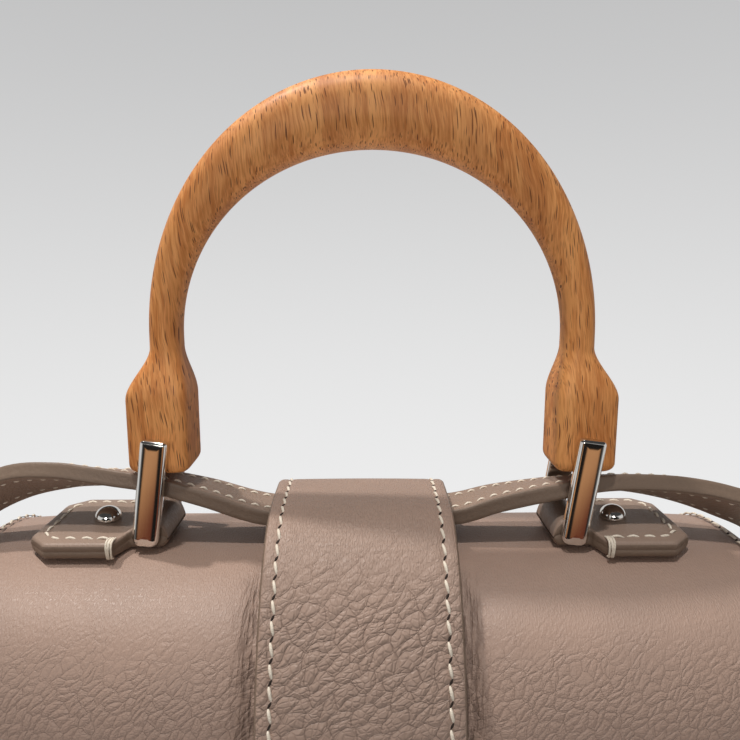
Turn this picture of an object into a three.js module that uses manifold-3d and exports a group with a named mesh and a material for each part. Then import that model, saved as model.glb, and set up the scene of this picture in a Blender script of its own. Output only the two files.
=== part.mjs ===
// Top handle bag with a bent beech handle, in millimetres, +Z up.
// X runs along the bag, the front faces -Y, and the origin is the centre of the underside.
import * as THREE from 'three';
import { mergeVertices } from 'three/addons/utils/BufferGeometryUtils.js';
import Module from 'manifold-3d';

const wasm = await Module();
wasm.setup();

// Driving sizes of the bag body
const BAG_WIDTH = 207;
const HALF_DEPTH = 44.5;
const WALL_HEIGHT = 100;
const TOP_RISE = 48.5;
const TOP_EXPONENT = 2.7;
const CORNER_RADIUS = 8;
const LEATHER = 2.6;
const LINING = 1.2;
const BOARD = 2;
const GUSSET = 2.2;
const GUSSET_INSET = 2.2;
const MOUTH_DROP = 5;
const LINING_DROP = 3;
const LINING_CORNER = 3;
const GAP = 0.3;

// Front flap, which bends along a fold just in front of the top
const FOLD_Y = -35;
const FOLD_GAP = 0.4;
const FLAP_EDGE_Z = 66;

// Central band and the tunnel that it forms over the shoulder strap
const BAND_WIDTH = 45.7;
const BAND_THICKNESS = 3.4;
const BAND_CRADLE = 11;
const BAND_LANDING = 42;
const BAND_BACK_CRADLE = 5;
const BAND_BACK_LANDING = 28;
const BAND_BACK_END_Z = 12;
const TONGUE_MARGIN = 3.5;
const TONGUE_STEP = 2.8;
const TONGUE_STEP_LENGTH = 8;
const TONGUE_CORNER_RADIUS = 13.5;

// Shoulder strap
const STRAP_WIDTH = 13.5;
const STRAP_THICKNESS = 4.3;
const STRAP_CHAMFER = 0.7;
const STRAP_TUNNEL_ROOM = 5.1;
const STRAP_END_CLEARANCE = 18;
const STRAP_BACK_CLEARANCE = 67.5;
const STRAP_TOUCH_Y = 34;
const STRAP_CORNER_RADIUS = 62;
const STRAP_LAP = 36;
const STRAP_LAP_RAMP = 14;
const STRAP_LAP_SHOULDER = 2;
const STRAP_SCREW_PITCH = 18;
const STRAP_SCREW_HEAD = 8;
const STRAP_SCREW_SHANK = 3.2;
const STRAP_SCREW_RIM = 1.2;

// Handle, its metal loops and the leather tabs that hold them
const PIVOT_HALF_SPACING = 54.5;
const LOOP_PIVOT_Z = 4.4;
const LOOP_LENGTH = 22.1;
const LOOP_LEAN = THREE.MathUtils.degToRad(7.8);
const LOOP_LEG_WIDTH = 6.7;
const LOOP_LEG_THICKNESS = 2.5;
const LOOP_ROOM = 5.5;
const LOOP_END = 2.9;
const LOOP_CORNER_RADIUS = 1.6;
const LOOP_BAR_RADIUS = 1.8;
const PIN_RADIUS = 2.4;
const PIN_SEAT = 1.3;
const RUNNING_CLEARANCE = 0.2;
const TAB_THICKNESS = 4.1;
const TAB_WIDTH = 32;
const TAB_LENGTH = 29.4;
const TAB_NOSE = 5;
const TAB_SHOULDER = 4.4;
const TAB_WIDENING = 3.4;
const TAB_CHAMFER = 5.6;
const TAB_LAP = 1;
const ROLL_WALL = 1.4;
const RIVET_OFFSET = 13.3;
const RIVET_HEAD = 7;
const RIVET_DOME = 3.4;
const RIVET_RIM = 0.5;
const RIVET_SHANK = 3;
const BURR_THICKNESS = 1;
const HANDLE_BLOCK_DROP = 6.9;
const HANDLE_BLOCK_WIDTH = 15.8;
const HANDLE_BLOCK_CLEARANCE = 2.5;
const HANDLE_BLOCK_HEIGHT = 19;
const HANDLE_BLOCK_ROUND = 2.2;
const HANDLE_BLOCK_SQUARENESS = 7;
const HANDLE_FLARE = 13;
const HANDLE_NECK_WIDTH = 8;
const HANDLE_NECK_DEPTH = 11;
const HANDLE_NECK_SQUARENESS = 2.8;
const HANDLE_CROWN_WIDTH = 18.2;
const HANDLE_CROWN_DEPTH = 16.4;
const HANDLE_SWELL_POWER = 2;
const HANDLE_NARROWING = 1.8;
const HANDLE_ARCH_RISE = 27.6;
const HANDLE_ARCH_HEIGHT = 55.3;

// Turn lock on the front
const LOCK_SIDES = 24;
const LOCK_BASE_RADIUS = 9;
const LOCK_BASE_THICKNESS = 1.2;
const LOCK_BACK_RADIUS = 6.3;
const LOCK_POST_RADIUS = 2.3;
const LOCK_BAR_LENGTH = 12;
const LOCK_BAR_WIDTH = 4.2;
const LOCK_BAR_THICKNESS = 3.4;
const LOCK_PLATE_MARGIN = 3;
const LOCK_PLATE_THICKNESS = 1.2;
const LOCK_SIDE_CLEARANCE = 0.8;
const LOCK_END_CLEARANCE = 2.2;

// Inner pocket
const POCKET_WIDTH = 120;
const POCKET_BOTTOM_Z = 34;
const POCKET_TOP_Z = 80;
const POCKET_SPACE = 1.7;

// Places that follow from the sizes above
const RIDGE_Z = WALL_HEIGHT + TOP_RISE;
const HALF_WIDTH = BAG_WIDTH / 2;
const MOUTH_HEIGHT = WALL_HEIGHT - MOUTH_DROP;
const LINING_HEIGHT = MOUTH_HEIGHT - LINING_DROP;
const LINING_OFFSET = LEATHER + GAP;
const FLAP_STACK = LEATHER + LINING + 2 * GAP;
const FRONT_Y = HALF_DEPTH - FLAP_STACK;
const GUSSET_OUTER_X = HALF_WIDTH - GUSSET_INSET;
const GUSSET_INNER_X = GUSSET_OUTER_X - GUSSET;
const INSIDE_HALF_X = GUSSET_INNER_X - GAP;
const BAND_INNER_CREST = 2 * GAP + STRAP_THICKNESS + STRAP_TUNNEL_ROOM;
const STRAP_CREST = BAND_INNER_CREST - 2 * GAP - STRAP_THICKNESS / 2;
const STRAP_REACH = HALF_WIDTH + STRAP_END_CLEARANCE;
const STRAP_BACK_Y = HALF_DEPTH + STRAP_BACK_CLEARANCE;
const LOOP_INNER_DEPTH = STRAP_WIDTH + LOOP_ROOM;
const HANDLE_BLOCK_DEPTH = LOOP_INNER_DEPTH - HANDLE_BLOCK_CLEARANCE;
const HANDLE_ARCH_HALF = PIVOT_HALF_SPACING - HANDLE_NARROWING;
const BOARD_TOP = LINING_OFFSET + BOARD;
const SLOT_HALF_WIDTH = LOCK_BAR_WIDTH / 2 + LOCK_SIDE_CLEARANCE;
const SLOT_HALF_LENGTH = LOCK_BAR_LENGTH / 2 + LOCK_END_CLEARANCE;
const PLATE_HALF_LENGTH = SLOT_HALF_LENGTH + LOCK_PLATE_MARGIN;
const LOCK_Z = FLAP_EDGE_Z - TONGUE_STEP_LENGTH - GAP - PLATE_HALF_LENGTH;
const TONGUE_END_Z = LOCK_Z - PLATE_HALF_LENGTH - TONGUE_MARGIN;

const leather = new THREE.MeshStandardMaterial({ color: 0xa08c7f, roughness: 0.55 });
const smoothLeather = new THREE.MeshStandardMaterial({ color: 0x93806f, roughness: 0.45 });
const suede = new THREE.MeshStandardMaterial({ color: 0xb39b84, roughness: 0.9 });
const board = new THREE.MeshStandardMaterial({ color: 0x8a7a66, roughness: 0.95 });
const beech = new THREE.MeshStandardMaterial({ color: 0xbe824b, roughness: 0.4 });
const nickel = new THREE.MeshStandardMaterial({ color: 0xd8d6d0, roughness: 0.12, metalness: 1 });

const bag = new THREE.Group();

function place(name, geometry, material, parent = bag) {
  const mesh = new THREE.Mesh(geometry, material);
  mesh.name = name;
  parent.add(mesh);
  return mesh;
}

// A closed mesh with only positions, its shared vertices merged
function weld(geometry) {
  const bare = geometry.index ? geometry.toNonIndexed() : geometry.clone();
  bare.deleteAttribute('normal');
  bare.deleteAttribute('uv');
  return mergeVertices(bare, 1e-3);
}

function toSolid(geometry) {
  const welded = weld(geometry);
  const vertProperties = Float32Array.from(welded.attributes.position.array);
  const triVerts = Uint32Array.from(welded.index.array);
  return new wasm.Manifold(new wasm.Mesh({ numProp: 3, vertProperties, triVerts }));
}

function toGeometry(solid) {
  const mesh = solid.getMesh();
  const geometry = new THREE.BufferGeometry();
  geometry.setAttribute('position', new THREE.Float32BufferAttribute(mesh.vertProperties, 3));
  geometry.setIndex(new THREE.Uint32BufferAttribute(mesh.triVerts, 1));
  return geometry;
}

function cut(geometry, ...tools) {
  return toGeometry(tools.reduce((solid, tool) => solid.subtract(toSolid(tool)), toSolid(geometry)));
}

function join(geometry, ...others) {
  return toGeometry(others.reduce((solid, other) => solid.add(toSolid(other)), toSolid(geometry)));
}

function block(x0, x1, y0, y1, z0, z1) {
  const box = new THREE.BoxGeometry(x1 - x0, y1 - y0, z1 - z0);
  return box.translate((x0 + x1) / 2, (y0 + y1) / 2, (z0 + z1) / 2);
}

function extrude(outline, depth) {
  return new THREE.ExtrudeGeometry(new THREE.Shape(outline), { depth, bevelEnabled: false });
}

// An outline in the Y-Z plane, extruded along X
function alongX(outline, x0, x1) {
  const turn = new THREE.Matrix4().set(0, 0, 1, x0, 1, 0, 0, 0, 0, 1, 0, 0, 0, 0, 0, 1);
  return extrude(outline, x1 - x0).applyMatrix4(turn);
}

// An outline in the X-Z plane, extruded along Y
function alongY(outline, y0, y1) {
  const turn = new THREE.Matrix4().set(1, 0, 0, 0, 0, 0, -1, y1, 0, 1, 0, 0, 0, 0, 0, 1);
  return extrude(outline, y1 - y0).applyMatrix4(turn);
}

// An outline in the X-Y plane, extruded along Z
function alongZ(outline, z0, z1) {
  return extrude(outline, z1 - z0).translate(0, 0, z0);
}

function roundBarY(radius, x, z, y0, y1, sides = 20) {
  const bar = new THREE.CylinderGeometry(radius, radius, y1 - y0, sides);
  return bar.translate(x, (y0 + y1) / 2, z);
}

function roundBarZ(radius, x, y, z0, z1, sides = 16) {
  const bar = new THREE.CylinderGeometry(radius, radius, z1 - z0, sides);
  return bar.rotateX(Math.PI / 2).translate(x, y, (z0 + z1) / 2);
}

// A profile of radius and height, turned about the Z axis
function turned(profile, sides = 20) {
  const lathe = new THREE.LatheGeometry(profile.map(([r, h]) => new THREE.Vector2(r, h)), sides);
  return lathe.rotateX(Math.PI / 2);
}

function smooth(t) {
  const u = THREE.MathUtils.clamp(t, 0, 1);
  return u * u * (3 - 2 * u);
}

// A skin over closed rings of equal count, with a fan over each end
function loft(rings) {
  const count = rings[0].length;
  const points = rings.flat();
  const index = [];
  for (let i = 0; i + 1 < rings.length; i += 1) {
    for (let j = 0; j < count; j += 1) {
      const a = i * count + j;
      const b = i * count + ((j + 1) % count);
      index.push(a, b, a + count, b, b + count, a + count);
    }
  }
  const last = (rings.length - 1) * count;
  for (let j = 1; j + 1 < count; j += 1) {
    index.push(0, j + 1, j, last, last + j, last + j + 1);
  }
  const positions = points.flatMap((p) => [p.x, p.y, p.z]);
  const geometry = new THREE.BufferGeometry();
  geometry.setAttribute('position', new THREE.Float32BufferAttribute(positions, 3));
  geometry.setIndex(index);
  return geometry;
}

// Outer line of the hide in the Y-Z plane, as points with outward normals, from the back's foot
// round the lower corner, up the back and over the top. The walk stops at the fold or at an edge.
function topPoint(angle) {
  const c = Math.cos(angle);
  const s = Math.sin(angle);
  const power = 2 / TOP_EXPONENT;
  const y = HALF_DEPTH * Math.sign(c) * Math.abs(c) ** power;
  const z = TOP_RISE * Math.abs(s) ** power;
  const slopeY = Math.sign(c) * Math.abs(y / HALF_DEPTH) ** (TOP_EXPONENT - 1) / HALF_DEPTH;
  const slopeZ = (z / TOP_RISE) ** (TOP_EXPONENT - 1) / TOP_RISE;
  const size = Math.hypot(slopeY, slopeZ);
  return { y, z: WALL_HEIGHT + z, ny: slopeY / size, nz: slopeZ / size };
}

function angleAtY(y) {
  const c = Math.sign(y) * Math.abs(y / HALF_DEPTH) ** (TOP_EXPONENT / 2);
  return Math.acos(c);
}

function cornerPoints(sign, halfDepth) {
  const points = [];
  for (let i = 0; i <= 6; i += 1) {
    const a = (i / 6) * Math.PI / 2;
    const ny = sign * Math.sin(a);
    const nz = -Math.cos(a);
    const y = sign * (halfDepth - CORNER_RADIUS) + CORNER_RADIUS * ny;
    points.push({ y, z: CORNER_RADIUS + CORNER_RADIUS * nz, ny, nz });
  }
  return points;
}

const TOP_STEPS = 30;
const foldAngle = angleAtY(FOLD_Y);
const fold = topPoint(foldAngle);
const foldTurn = FOLD_GAP / 2 / Math.hypot(
  topPoint(foldAngle + 0.01).y - fold.y, topPoint(foldAngle + 0.01).z - fold.z) * 0.01;

function topRun(from, to) {
  const steps = Math.max(3, Math.round(TOP_STEPS * (to - from) / Math.PI));
  return Array.from({ length: steps + 1 }, (_, i) => topPoint(from + (to - from) * i / steps));
}

const backFoot = cornerPoints(1, HALF_DEPTH);
const overTop = topRun(0, foldAngle - foldTurn);
const downFront = topRun(foldAngle + foldTurn, Math.PI);

function edgeAt(z) {
  return { y: -HALF_DEPTH, z, ny: -1, nz: 0 };
}

// The strip between two offsets of a line, as a closed outline
function strip(line, inner, outer) {
  const at = (p, d) => new THREE.Vector2(p.y + p.ny * d, p.z + p.nz * d);
  const offset = (d) => line.map((p) => at(p, typeof d === 'function' ? d(p) : d));
  return [...offset(outer), ...offset(inner).reverse()];
}

// Leather body: base, wrap, gussets and front
const baseFront = -(FRONT_Y - CORNER_RADIUS);
const baseBack = HALF_DEPTH - CORNER_RADIUS;
const wrapX = [-HALF_WIDTH, HALF_WIDTH];

place('base_panel', block(
  -HALF_WIDTH, HALF_WIDTH, baseFront + GAP / 2, baseBack - GAP / 2, 0, LEATHER), leather);
place('base_board', block(
  -INSIDE_HALF_X, INSIDE_HALF_X, baseFront + GAP, baseBack - GAP, LINING_OFFSET, BOARD_TOP), board);

const rivetX = PIVOT_HALF_SPACING + RIVET_OFFSET;
const sides = [['left', -1], ['right', 1]];
const rivetHoles = sides.map(([, side]) => roundBarZ(
  RIVET_SHANK / 2 + GAP, side * rivetX, 0, RIDGE_Z - 3 * LEATHER, RIDGE_Z + LEATHER));

const wrapLine = [...backFoot, ...overTop];
place('back_and_top_panel', cut(alongX(strip(wrapLine, -LEATHER, 0), ...wrapX), ...rivetHoles), leather);

const topLiningFoot = { y: HALF_DEPTH, z: LINING_HEIGHT + LINING, ny: 1, nz: 0 };
const topLiningLine = [topLiningFoot, ...overTop.slice(0, -1)];
place('top_lining', cut(alongX(strip(topLiningLine, -LINING_OFFSET - LINING, -LINING_OFFSET),
  -INSIDE_HALF_X, INSIDE_HALF_X), ...rivetHoles), suede);

const frontLine = [...cornerPoints(-1, FRONT_Y), { y: -FRONT_Y, z: MOUTH_HEIGHT, ny: -1, nz: 0 }];
const frontInner = -FRONT_Y + LEATHER;
const lockHole = roundBarY(LOCK_POST_RADIUS + GAP, 0, LOCK_Z, -FRONT_Y - LEATHER, frontInner + LEATHER);
const lockRecess = roundBarY(
  LOCK_BACK_RADIUS + GAP, 0, LOCK_Z, frontInner - LOCK_BASE_THICKNESS, frontInner + LEATHER, LOCK_SIDES);
const frontWrap = alongX(strip(frontLine, -LEATHER, 0).reverse(), ...wrapX);
place('front_panel', cut(frontWrap, lockHole, lockRecess), leather);

// Each gusset fills the wrap from side to side, and follows the inside of the closed flap
function gussetOutline() {
  const inward = (line, d) => line.map((p) => new THREE.Vector2(p.y - p.ny * d, p.z - p.nz * d));
  const front = inward(frontLine, LINING_OFFSET).reverse();
  const top = overTop.filter((p) => p.y > FOLD_Y + FLAP_STACK);
  const underFlap = downFront.filter((p) => p.z < fold.z - FLAP_STACK);
  return [...inward(backFoot, LINING_OFFSET), ...inward(top, LINING_OFFSET),
    ...inward(underFlap, FLAP_STACK + GAP), ...front];
}
for (const [name, side] of sides) {
  const x = [side * GUSSET_INNER_X, side * GUSSET_OUTER_X].sort((a, b) => a - b);
  place(`gusset_${name}`, alongX(gussetOutline(), ...x), leather);
}

// Lining sewn as an open-topped bag, with a patch pocket on its back wall
const liningBack = HALF_DEPTH - LINING_OFFSET;
const liningFront = -(FRONT_Y - LINING_OFFSET);
function liningOutline(inset, top) {
  const y0 = liningFront + inset;
  const y1 = liningBack - inset;
  const z0 = BOARD_TOP + GAP + inset;
  const shape = new THREE.Shape();
  shape.moveTo(y0, top);
  shape.lineTo(y0, z0 + LINING_CORNER);
  shape.absarc(y0 + LINING_CORNER, z0 + LINING_CORNER, LINING_CORNER, Math.PI, 1.5 * Math.PI);
  shape.absarc(y1 - LINING_CORNER, z0 + LINING_CORNER, LINING_CORNER, 1.5 * Math.PI, 2 * Math.PI);
  shape.lineTo(y1, top);
  return shape.getPoints(4);
}
const liningInnerX = INSIDE_HALF_X - LINING;
place('lining', cut(
  alongX(liningOutline(0, LINING_HEIGHT), -INSIDE_HALF_X, INSIDE_HALF_X),
  alongX(liningOutline(LINING, LINING_HEIGHT + LINING), -liningInnerX, liningInnerX)), suede);

const pocketBack = liningBack - LINING - GAP;
const pocketFront = pocketBack - POCKET_SPACE - LINING;
place('inner_pocket', cut(
  block(-POCKET_WIDTH / 2, POCKET_WIDTH / 2, pocketFront, pocketBack, POCKET_BOTTOM_Z, POCKET_TOP_Z),
  block(-POCKET_WIDTH / 2 + LINING, POCKET_WIDTH / 2 - LINING, pocketFront + LINING, pocketBack + LINING,
    POCKET_BOTTOM_Z + LINING, POCKET_TOP_Z + LINING)), suede);

// Front flap, below the fold
place('flap_panel', alongX(strip([...downFront, edgeAt(FLAP_EDGE_Z)], -LEATHER, 0), ...wrapX), leather);
const flapLiningLine = [...downFront, edgeAt(FLAP_EDGE_Z + LINING)];
place('flap_lining', alongX(strip(flapLiningLine, -LINING_OFFSET - LINING, -LINING_OFFSET),
  -INSIDE_HALF_X, INSIDE_HALF_X), suede);

// Central band: lies on the hide, and rises over the strap at the ridge
function bandLift(p) {
  if (p.z < WALL_HEIGHT) return GAP;
  const cradle = p.y < 0 ? BAND_CRADLE : BAND_BACK_CRADLE;
  const landing = p.y < 0 ? BAND_LANDING : BAND_BACK_LANDING;
  const rise = smooth((landing - Math.abs(p.y)) / (landing - cradle));
  return GAP + (BAND_INNER_CREST - GAP) * rise;
}
function tongueLift(p) {
  if (p.z >= WALL_HEIGHT) return bandLift(p);
  return GAP - TONGUE_STEP * smooth((FLAP_EDGE_Z - p.z) / TONGUE_STEP_LENGTH);
}
function bandStrip(line, lift) {
  const outline = strip(line, lift, (p) => lift(p) + BAND_THICKNESS);
  return alongX(outline, -BAND_WIDTH / 2, BAND_WIDTH / 2);
}
const bandBackLine = [{ y: HALF_DEPTH, z: BAND_BACK_END_Z, ny: 1, nz: 0 }, ...overTop];
place('band_back', bandStrip(bandBackLine, bandLift), smoothLeather);

// The band's lower end is a round tongue with a slot for the turn lock
const TONGUE_STEPS = 5;
const tongueLine = Array.from({ length: TONGUE_STEPS }, (_, i) => (
  edgeAt(FLAP_EDGE_Z - TONGUE_STEP_LENGTH * i / (TONGUE_STEPS - 1))));
const bandFrontLine = [...downFront, ...tongueLine, edgeAt(TONGUE_END_Z)];

function stadium(halfWidth, halfLength, z = LOCK_Z) {
  const straight = halfLength - halfWidth;
  const shape = new THREE.Shape();
  shape.absarc(0, z + straight, halfWidth, 0, Math.PI);
  shape.absarc(0, z - straight, halfWidth, Math.PI, 2 * Math.PI);
  return shape.getPoints(6);
}
function tongueCorners(side) {
  const half = BAND_WIDTH / 2;
  const radius = TONGUE_CORNER_RADIUS;
  const start = side > 0 ? 0 : Math.PI;
  const shape = new THREE.Shape();
  shape.moveTo(side * (half + GAP), TONGUE_END_Z + radius);
  shape.lineTo(side * half, TONGUE_END_Z + radius);
  shape.absarc(side * (half - radius), TONGUE_END_Z + radius, radius, start, -Math.PI / 2, side > 0);
  shape.lineTo(side * (half - radius), TONGUE_END_Z - GAP);
  shape.lineTo(side * (half + GAP), TONGUE_END_Z - GAP);
  return shape.getPoints(6);
}
const lockSlot = alongY(stadium(SLOT_HALF_WIDTH, SLOT_HALF_LENGTH), -2 * HALF_DEPTH, 0);
const tongueTools = sides.map(([, side]) => {
  const outline = tongueCorners(side);
  return alongY(side > 0 ? outline.reverse() : outline, -2 * HALF_DEPTH, 0);
});
place('band_front', cut(bandStrip(bandFrontLine, tongueLift), lockSlot, ...tongueTools), smoothLeather);

// Turn lock: base riveted to the front, slotted plate on the tongue, and the turning bar
const lockBaseFront = -FRONT_Y - GAP - LOCK_BASE_THICKNESS;
const tongueOuter = -HALF_DEPTH - GAP + TONGUE_STEP - BAND_THICKNESS;
const plateOuter = tongueOuter - GAP - LOCK_PLATE_THICKNESS;
const barInner = plateOuter - 2 * GAP;

place('turnlock_base', join(
  roundBarY(LOCK_BASE_RADIUS, 0, LOCK_Z, lockBaseFront, -FRONT_Y - GAP, LOCK_SIDES),
  roundBarY(LOCK_POST_RADIUS, 0, LOCK_Z, barInner, frontInner)), nickel);
const backplateOuter = frontInner - LOCK_BASE_THICKNESS + GAP;
place('turnlock_backplate', cut(
  roundBarY(LOCK_BACK_RADIUS, 0, LOCK_Z, backplateOuter, frontInner, LOCK_SIDES), lockHole), nickel);
place('turnlock_plate', cut(
  alongY(stadium(SLOT_HALF_WIDTH + LOCK_PLATE_MARGIN, PLATE_HALF_LENGTH), plateOuter, tongueOuter - GAP),
  lockSlot), nickel);
const barOuter = barInner - GAP - LOCK_BAR_THICKNESS;
place('turnlock_knob', alongY(
  stadium(LOCK_BAR_WIDTH / 2, LOCK_BAR_LENGTH / 2), barOuter, barInner - GAP), nickel);

// Handle tabs, riveted down, each rolled round the lower bar of its loop
const barZ = RIDGE_Z + LOOP_PIVOT_Z;
const tabBottom = RIDGE_Z + GAP;
const tabTop = tabBottom + TAB_THICKNESS;
const rollHalfWidth = LOOP_INNER_DEPTH / 2 - GAP;
const rollRadius = LOOP_BAR_RADIUS + RUNNING_CLEARANCE + ROLL_WALL;

function tabGeometry(side) {
  const x = side * PIVOT_HALF_SPACING;
  const nose = new THREE.Shape();
  const slant = rollRadius * Math.SQRT1_2;
  nose.moveTo(TAB_SHOULDER + TAB_LAP, tabBottom);
  nose.lineTo(TAB_SHOULDER + TAB_LAP, tabTop);
  nose.quadraticCurveTo(rollRadius, tabTop, slant, barZ + slant);
  nose.absarc(0, barZ, rollRadius, Math.PI / 4, 3 * Math.PI / 4);
  nose.quadraticCurveTo(-TAB_NOSE, tabTop, -TAB_NOSE, tabBottom + TAB_THICKNESS / 2);
  nose.quadraticCurveTo(-TAB_NOSE, tabBottom, -TAB_NOSE + TAB_THICKNESS / 2, tabBottom);
  const roll = alongY(nose.getPoints(5), -rollHalfWidth, rollHalfWidth);
  const half = TAB_WIDTH / 2;
  const widening = TAB_SHOULDER + TAB_WIDENING;
  const nearEdge = [[TAB_SHOULDER, -rollHalfWidth], [widening, -half], [TAB_LENGTH - TAB_CHAMFER, -half],
    [TAB_LENGTH, -half + TAB_CHAMFER]];
  const farEdge = nearEdge.map(([u, v]) => [u, -v]).reverse();
  const border = [...nearEdge, ...farEdge].map(([u, v]) => new THREE.Vector2(u, v));
  const plate = alongZ(border, tabBottom, tabTop);
  const outward = new THREE.Matrix4().makeRotationZ(side > 0 ? 0 : Math.PI).setPosition(x, 0, 0);
  const tab = join(roll, plate).applyMatrix4(outward);
  const bore = roundBarY(LOOP_BAR_RADIUS + RUNNING_CLEARANCE, x, barZ, -LOOP_INNER_DEPTH, LOOP_INNER_DEPTH);
  const rivetHole = roundBarZ(RIVET_SHANK / 2 + GAP, side * rivetX, 0, tabBottom - GAP, tabTop + GAP);
  return cut(tab, bore, rivetHole);
}

const rivetFoot = RIDGE_Z - LINING_OFFSET - LINING - GAP;
const rivetSeat = tabTop + GAP;
const rivetTail = rivetFoot - BURR_THICKNESS;
const rivetProfile = [[0, rivetTail], [RIVET_SHANK / 2, rivetTail], [RIVET_SHANK / 2, rivetSeat],
  [RIVET_HEAD / 2, rivetSeat], [RIVET_HEAD / 2, rivetSeat + RIVET_RIM]];
const DOME_STEPS = 5;
for (let i = 1; i < DOME_STEPS; i += 1) {
  const a = i / DOME_STEPS * Math.PI / 2;
  const height = rivetSeat + RIVET_RIM + (RIVET_DOME - RIVET_RIM) * Math.sin(a);
  rivetProfile.push([RIVET_HEAD / 2 * Math.cos(a), height]);
}
rivetProfile.push([0, rivetSeat + RIVET_DOME]);
const burrBore = RIVET_SHANK / 2 + GAP;
const burrProfile = [[burrBore, rivetFoot], [burrBore, rivetTail], [RIVET_HEAD / 2, rivetTail],
  [RIVET_HEAD / 2, rivetFoot], [burrBore, rivetFoot]];

for (const [name, side] of sides) {
  place(`handle_tab_${name}`, tabGeometry(side), smoothLeather);
  place(`tab_rivet_${name}`, turned(rivetProfile), nickel).position.x = side * rivetX;
  place(`rivet_burr_${name}`, turned(burrProfile), nickel).position.x = side * rivetX;
}

// Metal loops: a U of flat legs on a round lower bar, closed by the pin that carries the handle
const legInner = LOOP_INNER_DEPTH / 2;
const legOuter = legInner + LOOP_LEG_THICKNESS;
const pinHalfLength = legInner + PIN_SEAT;

function legOutline() {
  const half = LOOP_LEG_WIDTH / 2;
  const low = -LOOP_END;
  const high = LOOP_LENGTH + LOOP_END;
  const r = LOOP_CORNER_RADIUS;
  const shape = new THREE.Shape();
  shape.absarc(half - r, low + r, r, -Math.PI / 2, 0);
  shape.absarc(half - r / 2, high - r / 2, r / 2, 0, Math.PI / 2);
  shape.absarc(-half + r / 2, high - r / 2, r / 2, Math.PI / 2, Math.PI);
  shape.absarc(-half + r, low + r, r, Math.PI, 1.5 * Math.PI);
  return shape.getPoints(4);
}
function loopGeometry() {
  const legs = join(alongY(legOutline(), -legOuter, -legInner), alongY(legOutline(), legInner, legOuter),
    roundBarY(LOOP_BAR_RADIUS, 0, 0, -legOuter + GAP, legOuter - GAP));
  const seat = pinHalfLength + GAP;
  return cut(legs, roundBarY(PIN_RADIUS + RUNNING_CLEARANCE / 2, 0, LOOP_LENGTH, -seat, seat));
}
for (const [name, side] of sides) {
  const loop = new THREE.Group();
  loop.position.set(side * PIVOT_HALF_SPACING, 0, barZ);
  loop.rotation.y = LOOP_LEAN;
  bag.add(loop);
  place(`handle_loop_${name}`, loopGeometry(), nickel, loop);
  const pin = roundBarY(PIN_RADIUS, 0, LOOP_LENGTH, -pinHalfLength, pinHalfLength);
  place(`handle_pin_${name}`, pin, nickel, loop);
}

// Bent beech handle, lofted along its centre line; its own zero is midway between the two pins
function handleStations() {
  const { lerp } = THREE.MathUtils;
  const stations = [];
  const foot = -HANDLE_BLOCK_DROP;
  const ROUND_STEPS = 4;
  for (let i = 1; i <= ROUND_STEPS; i += 1) {
    const a = (i - 0.5) / (ROUND_STEPS - 0.5) * Math.PI / 2;
    const tuck = HANDLE_BLOCK_ROUND * (1 - Math.sin(a));
    const z = foot + HANDLE_BLOCK_ROUND * (1 - Math.cos(a));
    stations.push({ x: PIVOT_HALF_SPACING, z, nx: 1, nz: 0, width: HANDLE_BLOCK_WIDTH - 2 * tuck,
      depth: HANDLE_BLOCK_DEPTH - 2 * tuck, power: HANDLE_BLOCK_SQUARENESS });
  }
  const flareFoot = foot + HANDLE_BLOCK_HEIGHT;
  const FLARE_STEPS = 7;
  for (let i = 0; i <= FLARE_STEPS; i += 1) {
    const t = smooth(i / FLARE_STEPS);
    const z = flareFoot + HANDLE_FLARE * i / FLARE_STEPS;
    stations.push({ x: lerp(PIVOT_HALF_SPACING, HANDLE_ARCH_HALF, t), z, nx: 1, nz: 0,
      width: lerp(HANDLE_BLOCK_WIDTH, HANDLE_NECK_WIDTH, t),
      depth: lerp(HANDLE_BLOCK_DEPTH, HANDLE_NECK_DEPTH, t),
      power: lerp(HANDLE_BLOCK_SQUARENESS, HANDLE_NECK_SQUARENESS, t) });
  }
  const ARCH_STEPS = 14;
  for (let i = 1; i <= ARCH_STEPS; i += 1) {
    const a = i / ARCH_STEPS * Math.PI / 2;
    const swell = Math.sin(a) ** HANDLE_SWELL_POWER;
    const outward = new THREE.Vector2(Math.cos(a) / HANDLE_ARCH_HALF, Math.sin(a) / HANDLE_ARCH_HEIGHT);
    outward.normalize();
    stations.push({ x: HANDLE_ARCH_HALF * Math.cos(a), nx: outward.x, nz: outward.y,
      z: HANDLE_ARCH_RISE + HANDLE_ARCH_HEIGHT * Math.sin(a),
      width: lerp(HANDLE_NECK_WIDTH, HANDLE_CROWN_WIDTH, swell),
      depth: lerp(HANDLE_NECK_DEPTH, HANDLE_CROWN_DEPTH, swell), power: HANDLE_NECK_SQUARENESS });
  }
  const mirrored = stations.slice(0, -1).reverse().map((s) => ({ ...s, x: -s.x, nx: -s.nx }));
  return [...stations, ...mirrored];
}
function handleGeometry() {
  const SECTION = 16;
  const rings = handleStations().map((s) => Array.from({ length: SECTION }, (_, j) => {
    const a = (j + 0.5) / SECTION * 2 * Math.PI;
    const across = Math.sign(Math.cos(a)) * Math.abs(Math.cos(a)) ** (2 / s.power) * s.width / 2;
    const deep = Math.sign(Math.sin(a)) * Math.abs(Math.sin(a)) ** (2 / s.power) * s.depth / 2;
    return new THREE.Vector3(s.x + s.nx * across, deep, s.z + s.nz * across);
  }));
  const bores = sides.map(([, side]) => roundBarY(
    PIN_RADIUS + RUNNING_CLEARANCE, side * PIVOT_HALF_SPACING, 0, -HANDLE_BLOCK_DEPTH, HANDLE_BLOCK_DEPTH));
  return cut(loft(rings), ...bores);
}
const handle = place('handle', handleGeometry(), beech);
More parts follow.
